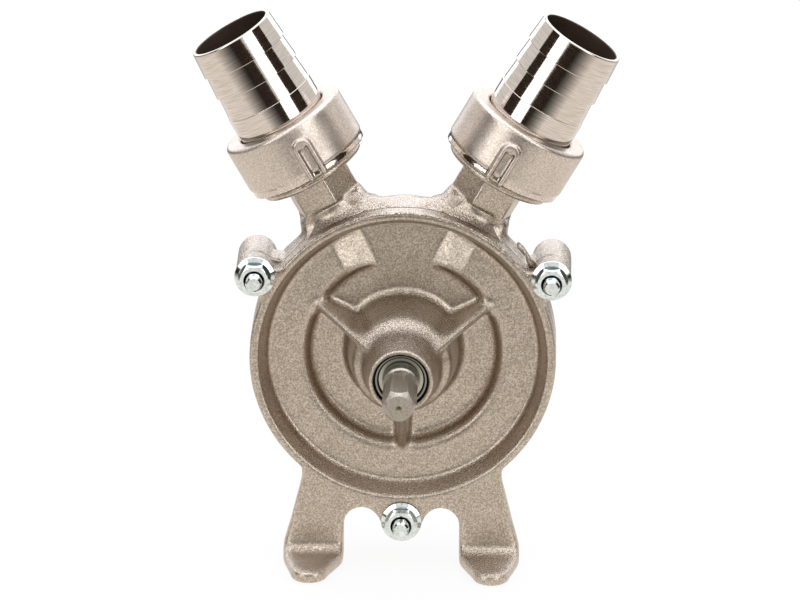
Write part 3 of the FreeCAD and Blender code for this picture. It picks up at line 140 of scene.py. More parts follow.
def makeCastSkin(name, skin):
    # sand-cast bronze under satin nickel: warm grey, every reflection broken into grains
    material, tree, body = newMaterial(name, {"Metallic": 1.0})
    place = addNode(tree, "ShaderNodeTexCoord").outputs["Object"]
    grain = addNode(tree, "ShaderNodeTexNoise", {
        "Vector": place, "Scale": 1 / (skin["grainMm"] * mm), "Detail": 2.0, "Roughness": 0.7})
    pebble = addNode(tree, "ShaderNodeTexVoronoi", {
        "Vector": place, "Scale": 1 / (skin["pebbleMm"] * mm)}, feature="SMOOTH_F1")
    wave = addNode(tree, "ShaderNodeTexNoise", {
        "Vector": place, "Scale": 1 / (skin["waveMm"] * mm), "Detail": 3.0})
    speck = addNode(tree, "ShaderNodeValToRGB", {"Fac": grain.outputs["Fac"]},
                    [skin["dark"], skin["bright"], skin["face"]])
    # painted highlight: edges and concave fillets lightened by the surface's bend, as if catching
    # light from above
    bend = addNode(tree, "ShaderNodeNewGeometry").outputs["Pointiness"]
    paintedLightAndShade = addNode(tree, "ShaderNodeValToRGB", {"Fac": bend},
                   [skin["hollow"], skin["edge"], skin["flat"]])
    tint = addNode(tree, "ShaderNodeMix", {
        "Factor": 1.0, "A": speck.outputs["Color"], "B": paintedLightAndShade.outputs["Color"]},
        data_type="RGBA", blend_type="MULTIPLY")
    rough = addNode(tree, "ShaderNodeMapRange", {
        "Value": wave.outputs["Fac"], **noiseSpan,
        "To Min": skin["roughLow"], "To Max": skin["roughHigh"]})
    low = addNode(tree, "ShaderNodeBump", {
        "Height": wave.outputs["Fac"], "Distance": skin["waveHeightMm"] * mm})
    middle = addNode(tree, "ShaderNodeBump", {
        "Height": pebble.outputs["Distance"], "Distance": skin["pebbleHeightMm"] * mm,
        "Normal": low.outputs["Normal"]})
    facing = addNode(tree, "ShaderNodeNewGeometry").outputs["Normal"]
    lift = addNode(tree, "ShaderNodeSeparateXYZ", {"Vector": facing}).outputs["Z"]
    upward = {"Value": lift, "From Min": skin["crustFrom"], "From Max": skin["crustTo"]}
    crust = addNode(tree, "ShaderNodeMapRange", {  # the mould's upper walls came out rougher
        **upward, "To Min": skin["grainHeightMm"] * mm, "To Max": skin["crustHeightMm"] * mm})
    shine = addNode(tree, "ShaderNodeMapRange", {
        **upward, "To Min": 0.0, "To Max": skin["crustShine"]})
    satin = addNode(tree, "ShaderNodeMath", (rough.outputs["Result"], shine.outputs["Result"]),
                    operation="SUBTRACT")
    high = addNode(tree, "ShaderNodeBump", {
        "Height": grain.outputs["Fac"], "Distance": crust.outputs["Result"],
        "Normal": middle.outputs["Normal"]})
    feed(tree, body, {
        "Base Color": tint.outputs["Result"], "Roughness": satin.outputs["Value"],
        "Normal": high.outputs["Normal"]})
    return material


castNickel = makeCastSkin("sandCastSatinNickel", castSkin)
paint(castNickel, "front_cover", "rear_housing")

castForm = {"voxelMm": 0.45, "smoothSteps": 20, "smoothFactor": 0.5,
            "waveMm": 7.0, "waveDepth": 2, "waveHeightMm": 0.16}
nutForm = dict(castForm, smoothSteps=3, waveHeightMm=0.06)

sandWaves = bpy.data.textures.new("sandWaves", "CLOUDS")
sandWaves.noise_scale = castForm["waveMm"] * mm
sandWaves.noise_depth = castForm["waveDepth"]


def softenCasting(thing, form):  # sand rounds every edge and leaves the walls a little wavy
    remesh = thing.modifiers.new("sandForm", "REMESH")
    remesh.mode = "VOXEL"
    remesh.voxel_size = form["voxelMm"] * mm
    remesh.use_smooth_shade = True
    relax = thing.modifiers.new("softEdges", "SMOOTH")
    relax.factor = form["smoothFactor"]
    relax.iterations = form["smoothSteps"]
    waves = thing.modifiers.new("wavyWalls", "DISPLACE")
    waves.texture = sandWaves
    waves.texture_coords = "LOCAL"
    waves.strength = form["waveHeightMm"] * mm
    waves.mid_level = 1.0  # only inward


# Deep sand fillets: the surface is blurred inside a region and kept outside it. levelsMm says where
# on the axis the region starts, is full, still is full and ends, outMm the same for the radius.

softNecks = {"steps": 90, "originMm": (0.0, 26.1, 83.0), "axis": (0.5, 0.0, 0.866),
             "levelsMm": (37.0, 41.0, 52.8, 53.4), "outMm": (18.0, 22.0)}
softToes = {"steps": 34, "originMm": (0.0, 0.0, 0.0), "axis": (0.0, 0.0, 1.0),
            "levelsMm": (-1.0, 0.0, 14.0, 18.0), "outMm": (80.0, 90.0)}
softRibs = {"steps": 26, "originMm": (0.0, 6.1, 76.5), "axis": (0.0, -1.0, 0.0),
            "levelsMm": (-12.0, -10.0, 13.0, 16.0), "outMm": (34.0, 37.0)}


def splitAlong(tree, place, origin, axis, scale):  # a point seen from an axis, in scaled units
    offset = addNode(tree, "ShaderNodeVectorMath", (place, origin), operation="SUBTRACT")
    offset = addNode(tree, "ShaderNodeVectorMath", {
        "Vector": offset.outputs["Vector"], "Scale": scale}, operation="SCALE").outputs["Vector"]
    level = addNode(tree, "ShaderNodeVectorMath", (offset, axis),
                    operation="DOT_PRODUCT").outputs["Value"]
    lift = addNode(tree, "ShaderNodeVectorMath", {"Vector": axis, "Scale": level},
                   operation="SCALE").outputs["Vector"]
    flat = addNode(tree, "ShaderNodeVectorMath", (offset, lift),
                   operation="SUBTRACT").outputs["Vector"]
    out = addNode(tree, "ShaderNodeVectorMath", (flat,), operation="LENGTH").outputs["Value"]
    return {"offset": offset, "level": level, "lift": lift, "flat": flat, "out": out}


def gateRegion(tree, split, form):  # 1 inside the levels and the radius, fading to 0
    low, lowFull, highFull, high = form["levelsMm"]
    weight = addNode(tree, "ShaderNodeMapRange", {
        "Value": split["out"], "From Min": form["outMm"][0], "From Max": form["outMm"][1],
        "To Min": 1.0, "To Max": 0.0}).outputs["Result"]
    for start, end in ((low, lowFull), (high, highFull)):
        gate = addNode(tree, "ShaderNodeMapRange", {
            "Value": split["level"], "From Min": start, "From Max": end,
            "To Min": 0.0, "To Max": 1.0}).outputs["Result"]
        weight = addNode(tree, "ShaderNodeMath", (weight, gate),
                         operation="MULTIPLY").outputs["Value"]
    return weight


def startShaper(name):  # a geometry node tree, and its points' positions
    tree = bpy.data.node_groups.new(name, "GeometryNodeTree")
    for way in ("INPUT", "OUTPUT"):
        tree.interface.new_socket("Geometry", in_out=way, socket_type="NodeSocketGeometry")
    return tree, addNode(tree, "GeometryNodeInputPosition").outputs["Position"]


def endShaper(thing, tree, change):  # moves the points and puts the modifier on the thing
    mesh = addNode(tree, "NodeGroupInput").outputs["Geometry"]
    moved = addNode(tree, "GeometryNodeSetPosition", {"Geometry": mesh, **change})
    addNode(tree, "NodeGroupOutput", {"Geometry": moved.outputs["Geometry"]})
    thing.modifiers.new(tree.name, "NODES").node_group = tree


def softenRegion(thing, name, form):
    tree, place = startShaper(name)
    mirrored = addNode(tree, "ShaderNodeVectorMath", (place,), operation="ABSOLUTE")
    spot = mirrored.outputs["Vector"] if form["axis"][0] else place  # one region serves both ports
    origin = tuple(value * mm for value in form["originMm"])
    weight = gateRegion(tree, splitAlong(tree, spot, origin, form["axis"], 1 / mm), form)
    blur = addNode(tree, "GeometryNodeBlurAttribute", data_type="FLOAT_VECTOR")
    tree.links.new(place, next(socket for socket in blur.inputs if socket.enabled))
    blur.inputs["Iterations"].default_value = form["steps"]
    tree.links.new(weight, blur.inputs["Weight"])
    soft = next(socket for socket in blur.outputs if socket.enabled)
    endShaper(thing, tree, {"Position": soft})


# The ports' pipe threads, under the ring nuts: cut inward from the plain spigot.

portThread = {"pitchMm": 2.309, "depthMm": 1.3, "levelsMm": (67.3, 68.0, 77.0, 77.6),
              "outMm": (16.4, 15.8)}


def cutThread(thing, side, form):
    turn = joints[f"{side}_nut_turn"]
    axis = Vector(turn["axis"])
    tree, place = startShaper(f"{side}PortThread")
    split = splitAlong(tree, place, turn["pos_m"], turn["axis"], 1 / mm)
    weight = gateRegion(tree, split, form)
    east, north = (addNode(tree, "ShaderNodeVectorMath", (split["flat"], way[:]),
                           operation="DOT_PRODUCT").outputs["Value"]
                   for way in (backward, axis.cross(backward)))
    angle = addNode(tree, "ShaderNodeMath", (north, east), operation="ARCTAN2").outputs["Value"]
    turned = addNode(tree, "ShaderNodeMath", (angle, math.tau), operation="DIVIDE").outputs["Value"]
    climbed = addNode(tree, "ShaderNodeMath", (split["level"], form["pitchMm"]),
                      operation="DIVIDE").outputs["Value"]
    phase = addNode(tree, "ShaderNodeMath", (climbed, turned),
                    operation="SUBTRACT").outputs["Value"]
    flank = addNode(tree, "ShaderNodeMath", (phase, 0.5), operation="PINGPONG").outputs["Value"]
    share = addNode(tree, "ShaderNodeMath", (flank, weight), operation="MULTIPLY").outputs["Value"]
    cut = addNode(tree, "ShaderNodeMath", (share, -2 * form["depthMm"] * mm),
                  operation="MULTIPLY").outputs["Value"]  # the flank runs from 0 to a half
    outward = addNode(tree, "ShaderNodeVectorMath", (split["flat"],), operation="NORMALIZE")
    shift = addNode(tree, "ShaderNodeVectorMath", {
        "Vector": outward.outputs["Vector"], "Scale": cut}, operation="SCALE").outputs["Vector"]
    endShaper(thing, tree, {"Offset": shift})


for name in ("front_cover", "rear_housing"):
    softenCasting(nodes[name], castForm)
for side in ("left", "right"):
    cutThread(nodes["rear_housing"], side, portThread)
softenRegion(nodes["rear_housing"], "softNecks", softNecks)
softenRegion(nodes["front_cover"], "softRibs", softRibs)
softenRegion(nodes["front_cover"], "softToes", softToes)
print("castings made")


# Neck roots: round feet that flow from each hexagon into the drum.

rootForm = {"topMm": 53.2, "topRadiusMm": 11.5, "flareMm": 4.2, "flarePower": 3, "sinkMm": 0.6,
            "drumMm": 54.0, "turns": 72, "rows": 12}


def makeRoot(side, form):
    turn = joints[f"{side}_nut_turn"]
    origin, axis = Vector(turn["pos_m"]) / mm, Vector(turn["axis"])
    across = axis.cross(backward)
    points = []
    for row in range(form["rows"] + 1):
        share = row / form["rows"]
        radius = form["topRadiusMm"] + form["flareMm"] * share ** form["flarePower"]
        for step in range(form["turns"]):
            angle = math.tau * step / form["turns"]
            start = origin + (across * math.cos(angle) + backward * math.sin(angle)) * radius
            away = start - shaftMm
            away.y = 0
            reach = away.dot(axis)
            drum = math.sqrt(reach ** 2 - away.length_squared + form["drumMm"] ** 2) - reach
            level = form["topMm"] + (drum - form["sinkMm"] - form["topMm"]) * share
            points.append(((start + axis * level) * mm)[:])
    return points, tubeFaces(form["rows"] + 1, form["turns"])


for side in ("left", "right"):
    points, faces = makeRoot(side, rootForm)
    addPiece(f"{side}_neck_foot", points, faces, castNickel, "pump_body")
print("neck roots made")


# Parting line: a torn bead of flash along the cover's upper edge, and one nub beside a boss.

beadForm = {
    "radiusMm": 53.6, "frontMm": 6.35, "degrees": (-58, 64), "steps": 420, "around": 7,
    "thickMm": 0.34, "thinMm": 0.03, "taper": 0.4, "tornMm": 0.42, "tearMm": 0.55,
    "wanderMm": 0.30, "wanderPace": 0.35, "wanderDepth": 0.6,
    "skin": dict(castSkin, grainHeightMm=0.12, crustHeightMm=0.30,
                 dark=(0.36, "6E655C"), face=(0.50, "B3A89C")),
}
nubForm = {
    "pathMm": [(45.4, 13.0, 33.0), (43.9, 12.2, 35.2), (43.4, 11.8, 37.0), (42.0, 12.2, 38.8),
               (40.8, 11.8, 40.4), (40.0, 12.4, 41.8)],
    "thickMm": (1.6, 1.1, 0.75, 0.9, 1.05, 0.4), "around": 9, "tornMm": 0.5, "tearMm": 1.1,
}


def sweepRope(path, thick, around, torn, tear):  # an uneven rope of mesh along a path
    points = []
    for index, place in enumerate(path):
        along = (path[min(index + 1, len(path) - 1)] - path[max(index - 1, 0)]).normalized()
        if index == 0:
            side = along.orthogonal().normalized()
        else:
            side = (side - along * side.dot(along)).normalized()
        up = along.cross(side)
        for step in range(around):
            angle = math.tau * step / around
            out = side * math.cos(angle) + up * math.sin(angle)
            swell = noise.noise((place + out * thick[index]) / tear) * torn
            points.append(((place + out * (thick[index] + swell)) * mm)[:])
    return points, tubeFaces(len(path), around, flipped=True)


def beadPath(form):
    start, end = form["degrees"]
    path, thick = [], []
    for step in range(form["steps"] + 1):
        share = step / form["steps"]
        angle = math.radians(start + share * (end - start))
        out = Vector((math.sin(angle), 0, math.cos(angle)))
        spot = out * form["radiusMm"] / form["tearMm"] * form["wanderPace"]
        wander = form["wanderMm"] * noise.noise(spot)
        place = shaftMm + out * (form["radiusMm"] + wander)
        place.y = form["frontMm"] + wander * form["wanderDepth"]
        path.append(place)
        thick.append(form["thickMm"] * math.sin(math.pi * share) ** form["taper"] + form["thinMm"])
    return path, thick


tornSkin = makeCastSkin("tornFlash", beadForm["skin"])  # dark and glinting by turns
path, thick = beadPath(beadForm)
points, faces = sweepRope(path, thick, beadForm["around"], beadForm["tornMm"], beadForm["tearMm"])
addPiece("parting_bead", points, faces, tornSkin, "pump_body")
path = [Vector((x, y, z + shaftMm.z)) for x, y, z in nubForm["pathMm"]]
points, faces = sweepRope(path, nubForm["thickMm"], nubForm["around"], nubForm["tornMm"],
                          nubForm["tearMm"])
addPiece("flash_nub", points, faces, tornSkin, "pump_body")
print("parting line made")


# Turned pieces: a profile of (radius, level) corners, rounded where a third number says so.

def roundCorners(profile, steps):
    points = []
    for index, corner in enumerate(profile):
        here = Vector(corner[:2])
        if len(corner) < 3:
            points.append(here)
            continue
        before = (Vector(profile[index - 1][:2]) - here).normalized()
        after = (Vector(profile[(index + 1) % len(profile)][:2]) - here).normalized()
        for step in range(steps + 1):
            share = step / steps
            points.append(here + corner[2] * ((1 - share) ** 2 * before + share ** 2 * after))
    return points


def turnProfile(points, count, origin, axis):  # the ring mesh that a closed profile sweeps
    axis = Vector(axis)
    side = axis.orthogonal().normalized()
    across = axis.cross(side)
    places, faces = [], []
    for turn in range(count):
        angle = math.tau * turn / count
        out = side * math.cos(angle) + across * math.sin(angle)
        places += [(Vector(origin) + (out * r + axis * level) * mm)[:] for r, level in points]
    size = len(points)
    for turn in range(count):
        this, other = turn * size, (turn + 1) % count * size
        for at in range(size):
            after = (at + 1) % size
            faces.append((this + at, other + at, other + after, this + after))
    return places, faces


def keepFlats(piece, form):  # long faces stay straight next to small rounded edges
    piece.data.set_sharp_from_angle(angle=math.radians(form["sharpDegrees"]))
    weigh = piece.modifiers.new("faceNormals", "WEIGHTED_NORMAL")
    weigh.keep_sharp = True


# Hose tails: turned, plated and buffed until they mirror the room.

tailForm = {
    "turns": 144, "roundSteps": 3, "sharpDegrees": 40,
    "profile": [
        (13.85, 79.8, 0.3), (17.7, 79.8, 0.3), (17.7, 83.0, 0.3), (16.0, 83.0),
        (16.0, 88.2, 0.1), (16.2, 88.2, 0.1), (16.2, 96.1, 0.12), (15.95, 96.1, 0.08),
        (15.25, 104.7), (15.95, 104.7, 0.3), (15.25, 113.3), (15.95, 113.3, 0.3),
        (15.25, 122.8, 0.5), (13.85, 122.8, 0.5),
    ],
}
tailLook = {
    "lineMm": 0.24, "lineHeightMm": 0.0024, "runMm": 7.0,
    "low": (0.3, "B3A89D"), "high": (0.7, "D8D0C8"), "roughLow": 0.05, "roughHigh": 0.10,
    "boreMm": 14.2, "blendMm": 0.2, "bore": "5E4F44", "boreRough": 0.42, "boreMetal": 0.55,
}


def makeTurnedNickel(name, side, look):
    # bright nickel over turned brass: a mirror with fine lathe lines, dull and brown inside
    material, tree, body = newMaterial(name, {})
    turn = joints[f"{side}_nut_turn"]
    place = addNode(tree, "ShaderNodeTexCoord").outputs["Object"]
    port = splitAlong(tree, place, turn["pos_m"], turn["axis"], 1 / mm)
    around = addNode(tree, "ShaderNodeVectorMath", {
        "Vector": port["offset"], "Scale": 1 / look["runMm"]}, operation="SCALE").outputs["Vector"]
    across = addNode(tree, "ShaderNodeVectorMath", {
        "Vector": port["lift"], "Scale": 1 / look["lineMm"]}, operation="SCALE").outputs["Vector"]
    grid = addNode(tree, "ShaderNodeVectorMath", (around, across), operation="ADD")
    lines = addNode(tree, "ShaderNodeTexNoise", {
        "Vector": grid.outputs["Vector"], "Scale": 1.0, "Detail": 4.0}).outputs["Fac"]
    shine = addNode(tree, "ShaderNodeValToRGB", {"Fac": lines}, [look["low"], look["high"]])
    span = (look["boreMm"] - look["blendMm"], look["boreMm"] + look["blendMm"])
    share = addNode(tree, "ShaderNodeMapRange", {
        "Value": port["out"], "From Min": span[0], "From Max": span[1],
        "To Min": 0.0, "To Max": 1.0}).outputs["Result"]
    inside = addNode(tree, "ShaderNodeMix", {
        "Factor": share, "A": linear(look["bore"]), "B": linear("FFFFFF")}, data_type="RGBA")
    outer = addNode(tree, "ShaderNodeMath", (port["out"], look["boreMm"]),
                    operation="GREATER_THAN").outputs["Value"]
    tint = addNode(tree, "ShaderNodeMix", {
        "Factor": 1.0, "A": shine.outputs["Color"], "B": inside.outputs["Result"]},
        data_type="RGBA", blend_type="MULTIPLY")
    rough = addNode(tree, "ShaderNodeMapRange", {
        "Value": lines, **noiseSpan,
        "To Min": look["roughLow"], "To Max": look["roughHigh"]})
    finish = addNode(tree, "ShaderNodeMix", {
        "Factor": outer, "A": look["boreRough"], "B": rough.outputs["Result"]}, data_type="FLOAT")
    metal = addNode(tree, "ShaderNodeMix", {
        "Factor": outer, "A": look["boreMetal"], "B": 1.0}, data_type="FLOAT")
    marks = addNode(tree, "ShaderNodeBump", {
        "Height": lines, "Distance": look["lineHeightMm"] * mm})
    feed(tree, body, {
        "Base Color": tint.outputs["Result"], "Roughness": finish.outputs["Result"],
        "Metallic": metal.outputs["Result"], "Normal": marks.outputs["Normal"]})
    return material


tailPoints = roundCorners(tailForm["profile"], tailForm["roundSteps"])
for side in ("left", "right"):
    turn = joints[f"{side}_nut_turn"]
    places, faces = turnProfile(tailPoints, tailForm["turns"], turn["pos_m"], turn["axis"])
    shine = makeTurnedNickel(f"{side}BuffedNickel", side, tailLook)
    tail = addPiece(f"{side}_turned_tail", places, faces, shine, f"{side}_tail")
    keepFlats(tail, tailForm)
    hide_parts(f"{side}_hose_tail")
print("hose tails made")


# Ring nuts: cast, blasted and plated, with a machined band at the foot.

ringLook = {
    "grainMm": 0.5, "grainHeightMm": 0.022, "waveMm": 8.0, "waveHeightMm": 0.05,
    "dark": (0.35, "B6ABA1"), "bright": (0.65, "DCD3CA"), "roughLow": 0.33, "roughHigh": 0.42,
    # hollow is painted shade in concave corners, edge a painted highlight
    "hollow": (0.43, "6F655C"), "flat": (0.49, "F6F3F0"), "edge": (0.56, "FFFFFF"),
    "bandTopMm": 70.1, "bandOutMm": 22.4, "bandRough": 0.12,
}


def makeRingNickel(name, side, look):
    # blasted nickel: soft pinkish grey with a faint grain, and one bright turned band
    material, tree, body = newMaterial(name, {"Metallic": 1.0})
    turn = joints[f"{side}_nut_turn"]
    place = addNode(tree, "ShaderNodeTexCoord").outputs["Object"]
    port = splitAlong(tree, place, turn["pos_m"], turn["axis"], 1 / mm)
    grain = addNode(tree, "ShaderNodeTexNoise", {
        "Vector": place, "Scale": 1 / (look["grainMm"] * mm), "Detail": 3.0}).outputs["Fac"]
    wave = addNode(tree, "ShaderNodeTexNoise", {
        "Vector": place, "Scale": 1 / (look["waveMm"] * mm), "Detail": 2.0}).outputs["Fac"]
    tint = addNode(tree, "ShaderNodeValToRGB", {"Fac": grain}, [look["dark"], look["bright"]])
    # painted shade in concave corners and painted highlight on edges, by the surface's bend
    bend = addNode(tree, "ShaderNodeNewGeometry").outputs["Pointiness"]
    paintedLightAndShade = addNode(tree, "ShaderNodeValToRGB", {"Fac": bend},
                   [look["hollow"], look["edge"], look["flat"]])
    shade = addNode(tree, "ShaderNodeMix", {
        "Factor": 1.0, "A": tint.outputs["Color"], "B": paintedLightAndShade.outputs["Color"]},
        data_type="RGBA", blend_type="MULTIPLY")
    below = addNode(tree, "ShaderNodeMath", (port["level"], look["bandTopMm"]),
                    operation="LESS_THAN")
    inner = addNode(tree, "ShaderNodeMath", (port["out"], look["bandOutMm"]),
                    operation="LESS_THAN")
    band = addNode(tree, "ShaderNodeMath", (below.outputs["Value"], inner.outputs["Value"]),
                   operation="MULTIPLY").outputs["Value"]
    satin = addNode(tree, "ShaderNodeMapRange", {
        "Value": wave, **noiseSpan,
        "To Min": look["roughLow"], "To Max": look["roughHigh"]}).outputs["Result"]
    rough = addNode(tree, "ShaderNodeMix", {
        "Factor": band, "A": satin, "B": look["bandRough"]}, data_type="FLOAT")
    cast = addNode(tree, "ShaderNodeMath", (1.0, band), operation="SUBTRACT").outputs["Value"]
    low = addNode(tree, "ShaderNodeBump", {
        "Strength": cast, "Height": wave, "Distance": look["waveHeightMm"] * mm})
    high = addNode(tree, "ShaderNodeBump", {
        "Strength": cast, "Height": grain, "Distance": look["grainHeightMm"] * mm,
        "Normal": low.outputs["Normal"]})
    feed(tree, body, {
        "Base Color": shade.outputs["Result"], "Roughness": rough.outputs["Result"],
        "Normal": high.outputs["Normal"]})
    return material


for side in ("left", "right"):
    paint(makeRingNickel(f"{side}BlastedNickel", side, ringLook), f"{side}_ring_nut")
    softenCasting(nodes[f"{side}_ring_nut"], nutForm)
print("ring nuts made")


# Small metal parts: each finish has its own grain, which runs along one direction or none.

zincLook = {
    "grainMm": (1.1, 1.1, 1.1), "heightMm": 0.008,
    "low": (0.3, "BAC2C1"), "high": (0.7, "E2E8E7"), "roughLow": 0.04, "roughHigh": 0.12,
    # painted shade: near-black in the corners that ambient occlusion finds
    "paintedShade": "16191A", "paintedShadeMm": 1.8, "paintedShadeFrom": 0.35, "paintedShadeTo": 0.8, "paintedShadeSamples": 8,
}
steelLook = {
    "grainMm": (0.45, 9.0, 0.45), "heightMm": 0.012,
    "low": (0.3, "918A7E"), "high": (0.7, "BBB4A8"), "roughLow": 0.30, "roughHigh": 0.42,
}
bronzeLook = {
    "grainMm": (0.8, 0.8, 0.8), "heightMm": 0.010,
    "low": (0.3, "A8763C"), "high": (0.7, "C08F50"), "roughLow": 0.24, "roughHigh": 0.38,
}
springLook = {
    "grainMm": (0.5, 0.5, 0.5), "heightMm": 0.010,
    "low": (0.3, "1C1C1E"), "high": (0.7, "2E2E30"), "roughLow": 0.32, "roughHigh": 0.48,
}
ballLook = {
    "grainMm": (0.6, 0.6, 0.6), "heightMm": 0.003,
    "low": (0.3, "8E8E90"), "high": (0.7, "A9A9AB"), "roughLow": 0.16, "roughHigh": 0.26,
}


def makeMetal(name, look):
    # zinc gives a cold glint over painted shade in its corners, drawn steel long streaks, bronze a
    # warm gold,
    # oiled spring steel a dark sheen, ground bearing steel a smooth mid grey
    material, tree, body = newMaterial(name, {"Metallic": 1.0})
    place = addNode(tree, "ShaderNodeTexCoord").outputs["Object"]
    scale = tuple(1 / (size * mm) for size in look["grainMm"])
    grid = addNode(tree, "ShaderNodeVectorMath", (place, scale), operation="MULTIPLY")
    marks = addNode(tree, "ShaderNodeTexNoise", {
        "Vector": grid.outputs["Vector"], "Scale": 1.0, "Detail": 4.0}).outputs["Fac"]
    tint = addNode(tree, "ShaderNodeValToRGB", {"Fac": marks}, [look["low"], look["high"]])
    rough = addNode(tree, "ShaderNodeMapRange", {
        "Value": marks, **noiseSpan,
        "To Min": look["roughLow"], "To Max": look["roughHigh"]})
    bump = addNode(tree, "ShaderNodeBump", {
        "Height": marks, "Distance": look["heightMm"] * mm})
    colour = tint.outputs["Color"]
    if "paintedShade" in look:
        # painted shade: darkened where ambient occlusion finds corners, such as between hex and
        # flange
        airy = addNode(tree, "ShaderNodeAmbientOcclusion", {
            "Distance": look["paintedShadeMm"] * mm}, samples=look["paintedShadeSamples"]).outputs["AO"]
        unshaded = addNode(tree, "ShaderNodeMapRange", {
            "Value": airy, "From Min": look["paintedShadeFrom"], "From Max": look["paintedShadeTo"],
            "To Min": 0.0, "To Max": 1.0})
        colour = addNode(tree, "ShaderNodeMix", {
            "Factor": unshaded.outputs["Result"], "A": linear(look["paintedShade"]), "B": colour},
            data_type="RGBA").outputs["Result"]
    feed(tree, body, {
        "Base Color": colour, "Roughness": rough.outputs["Result"],
        "Normal": bump.outputs["Normal"]})
    return material


zincPlate = makeMetal("brightZincPlate", zincLook)
paint(zincPlate, "flange_nuts")
paint(makeMetal("coldDrawnSteel", steelLook), "drive_shaft", "impeller_key")
paint(makeMetal("machinedBronze", bronzeLook), "impeller")
paint(makeMetal("oiledSpringSteel", springLook), "inner_snap_ring", "seal_spring")
bearingSteel = makeMetal("groundBearingSteel", ballLook)
for piece in ("inner_ring", "balls", "cage", "shields", "outer_ring"):
    paint(bearingSteel, f"inner_bearing_{piece}")
for piece in ("inner_ring", "balls", "cage"):
    paint(bearingSteel, f"nose_bearing_{piece}")
print("small metals made")


# Studs: threaded at the nut's end, plain where the castings hold them.

studForm = {
    "circleMm": 60.0, "angles": (-90, 30, 150),
    "frontMm": -3.9, "threadToMm": 12.0, "backMm": 28.1,
    "majorMm": 2.98, "depthMm": 0.36, "pitchMm": 1.0, "chamferMm": 0.75,
    "around": 28, "rowsPerPitch": 6, "sharpDegrees": 35,
}


def makeStud(form, angle):  # one stud: rows of points along Y, a V groove and a chamfered end
    turn = math.radians(angle)
    centre = (shaftMm + Vector((math.cos(turn), 0, math.sin(turn))) * form["circleMm"]) * mm
    pace = form["pitchMm"] / form["rowsPerPitch"]
    rows = int((form["threadToMm"] - form["frontMm"]) / form["pitchMm"] * form["rowsPerPitch"])
    levels = [form["frontMm"] + row * pace for row in range(rows + 1)] + [form["backMm"]]
    points = []
    for level in levels:
        for step in range(form["around"]):
            share = step / form["around"]
            phase = ((level - form["frontMm"]) / form["pitchMm"] - share) % 1.0
            groove = form["depthMm"] * abs(2 * phase - 1) if level < form["threadToMm"] else 0.0
            lead = max(0.0, form["chamferMm"] - (level - form["frontMm"]))
            radius = min(form["majorMm"] - groove, form["majorMm"] - lead)
            points.append((centre.x + radius * mm * math.cos(math.tau * share), level * mm,
                           centre.z + radius * mm * math.sin(math.tau * share)))
    return points, tubeFaces(len(levels), form["around"])


studPoints, studFaces = [], []
for angle in studForm["angles"]:
    points, faces = makeStud(studForm, angle)
    studFaces += [tuple(len(studPoints) + at for at in face) for face in faces]
    studPoints += points
threads = addPiece("threaded_studs", studPoints, studFaces, zincPlate, "pump_body")
threads.data.set_sharp_from_angle(angle=math.radians(studForm["sharpDegrees"]))
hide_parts("studs")
print("studs made")


# Nose: rings around the shaft, each with its tone by the distance from the shaft.

noseRings = {
    "spanMm": 12.0,
    # each ring's tone by radius; the black tones are painted shadow of the gaps beside them
    "nose_snap_ring": [(8.9, "8B8A86"), (9.0, "0B0B0B")],
    "nose_bearing_outer_ring": [(8.9, "8B8A86"), (9.0, "0B0B0B")],
    "nose_bearing_shields": [(7.7, "B1AFA2"), (7.8, "0D0D0D")],
    "rough": 0.28, "grainMm": 0.6, "heightMm": 0.004,
}


def makeRingTone(name, stops, look):
    # thin polished rings, with black bands of painted shadow where the gaps and the bore's wall lie
    # in shade
    material, tree, body = newMaterial(name, {"Metallic": 1.0, "Roughness": look["rough"]})
    place = addNode(tree, "ShaderNodeTexCoord").outputs["Object"]
    offset = addNode(tree, "ShaderNodeVectorMath", (place, joints["shaft_spin"]["pos_m"]),
                     operation="SUBTRACT")
    flat = addNode(tree, "ShaderNodeVectorMath", (offset.outputs["Vector"], (1.0, 0.0, 1.0)),
                   operation="MULTIPLY")
    out = addNode(tree, "ShaderNodeVectorMath", (flat.outputs["Vector"],), operation="LENGTH")
    share = addNode(tree, "ShaderNodeMath", (out.outputs["Value"], look["spanMm"] * mm),
                    operation="DIVIDE")
    tint = addNode(tree, "ShaderNodeValToRGB", {"Fac": share.outputs["Value"]},
                   [(at / look["spanMm"], code) for at, code in stops])
    marks = addNode(tree, "ShaderNodeTexNoise", {
        "Vector": place, "Scale": 1 / (look["grainMm"] * mm), "Detail": 3.0})
    bump = addNode(tree, "ShaderNodeBump", {
        "Height": marks.outputs["Fac"], "Distance": look["heightMm"] * mm})
    feed(tree, body, {"Base Color": tint.outputs["Color"], "Normal": bump.outputs["Normal"]})
    return material


for name in ("nose_snap_ring", "nose_bearing_outer_ring", "nose_bearing_shields"):
    paint(makeRingTone(f"{name}Steel", noseRings[name], noseRings), name)
print("nose rings made")


# Rubber and gasket board.

rubberLook = {"low": (0.3, "0E0E0E"), "high": (0.7, "1B1B1B"), "rough": 0.55,
              "grainMm": 0.6, "heightMm": 0.01}
boardLook = {"low": (0.3, "5F5340"), "high": (0.7, "7A6B54"), "rough": 0.85,
             "grainMm": 0.5, "heightMm": 0.02}


def makeDull(name, look):
    # no metal: a dry mottled face
    material, tree, body = newMaterial(name, {"Metallic": 0.0, "Roughness": look["rough"]})
    place = addNode(tree, "ShaderNodeTexCoord").outputs["Object"]
    mottle = addNode(tree, "ShaderNodeTexNoise", {
        "Vector": place, "Scale": 1 / (look["grainMm"] * mm), "Detail": 4.0}).outputs["Fac"]
    tint = addNode(tree, "ShaderNodeValToRGB", {"Fac": mottle}, [look["low"], look["high"]])
    bump = addNode(tree, "ShaderNodeBump", {
        "Height": mottle, "Distance": look["heightMm"] * mm})
    feed(tree, body, {"Base Color": tint.outputs["Color"], "Normal": bump.outputs["Normal"]})
    return material


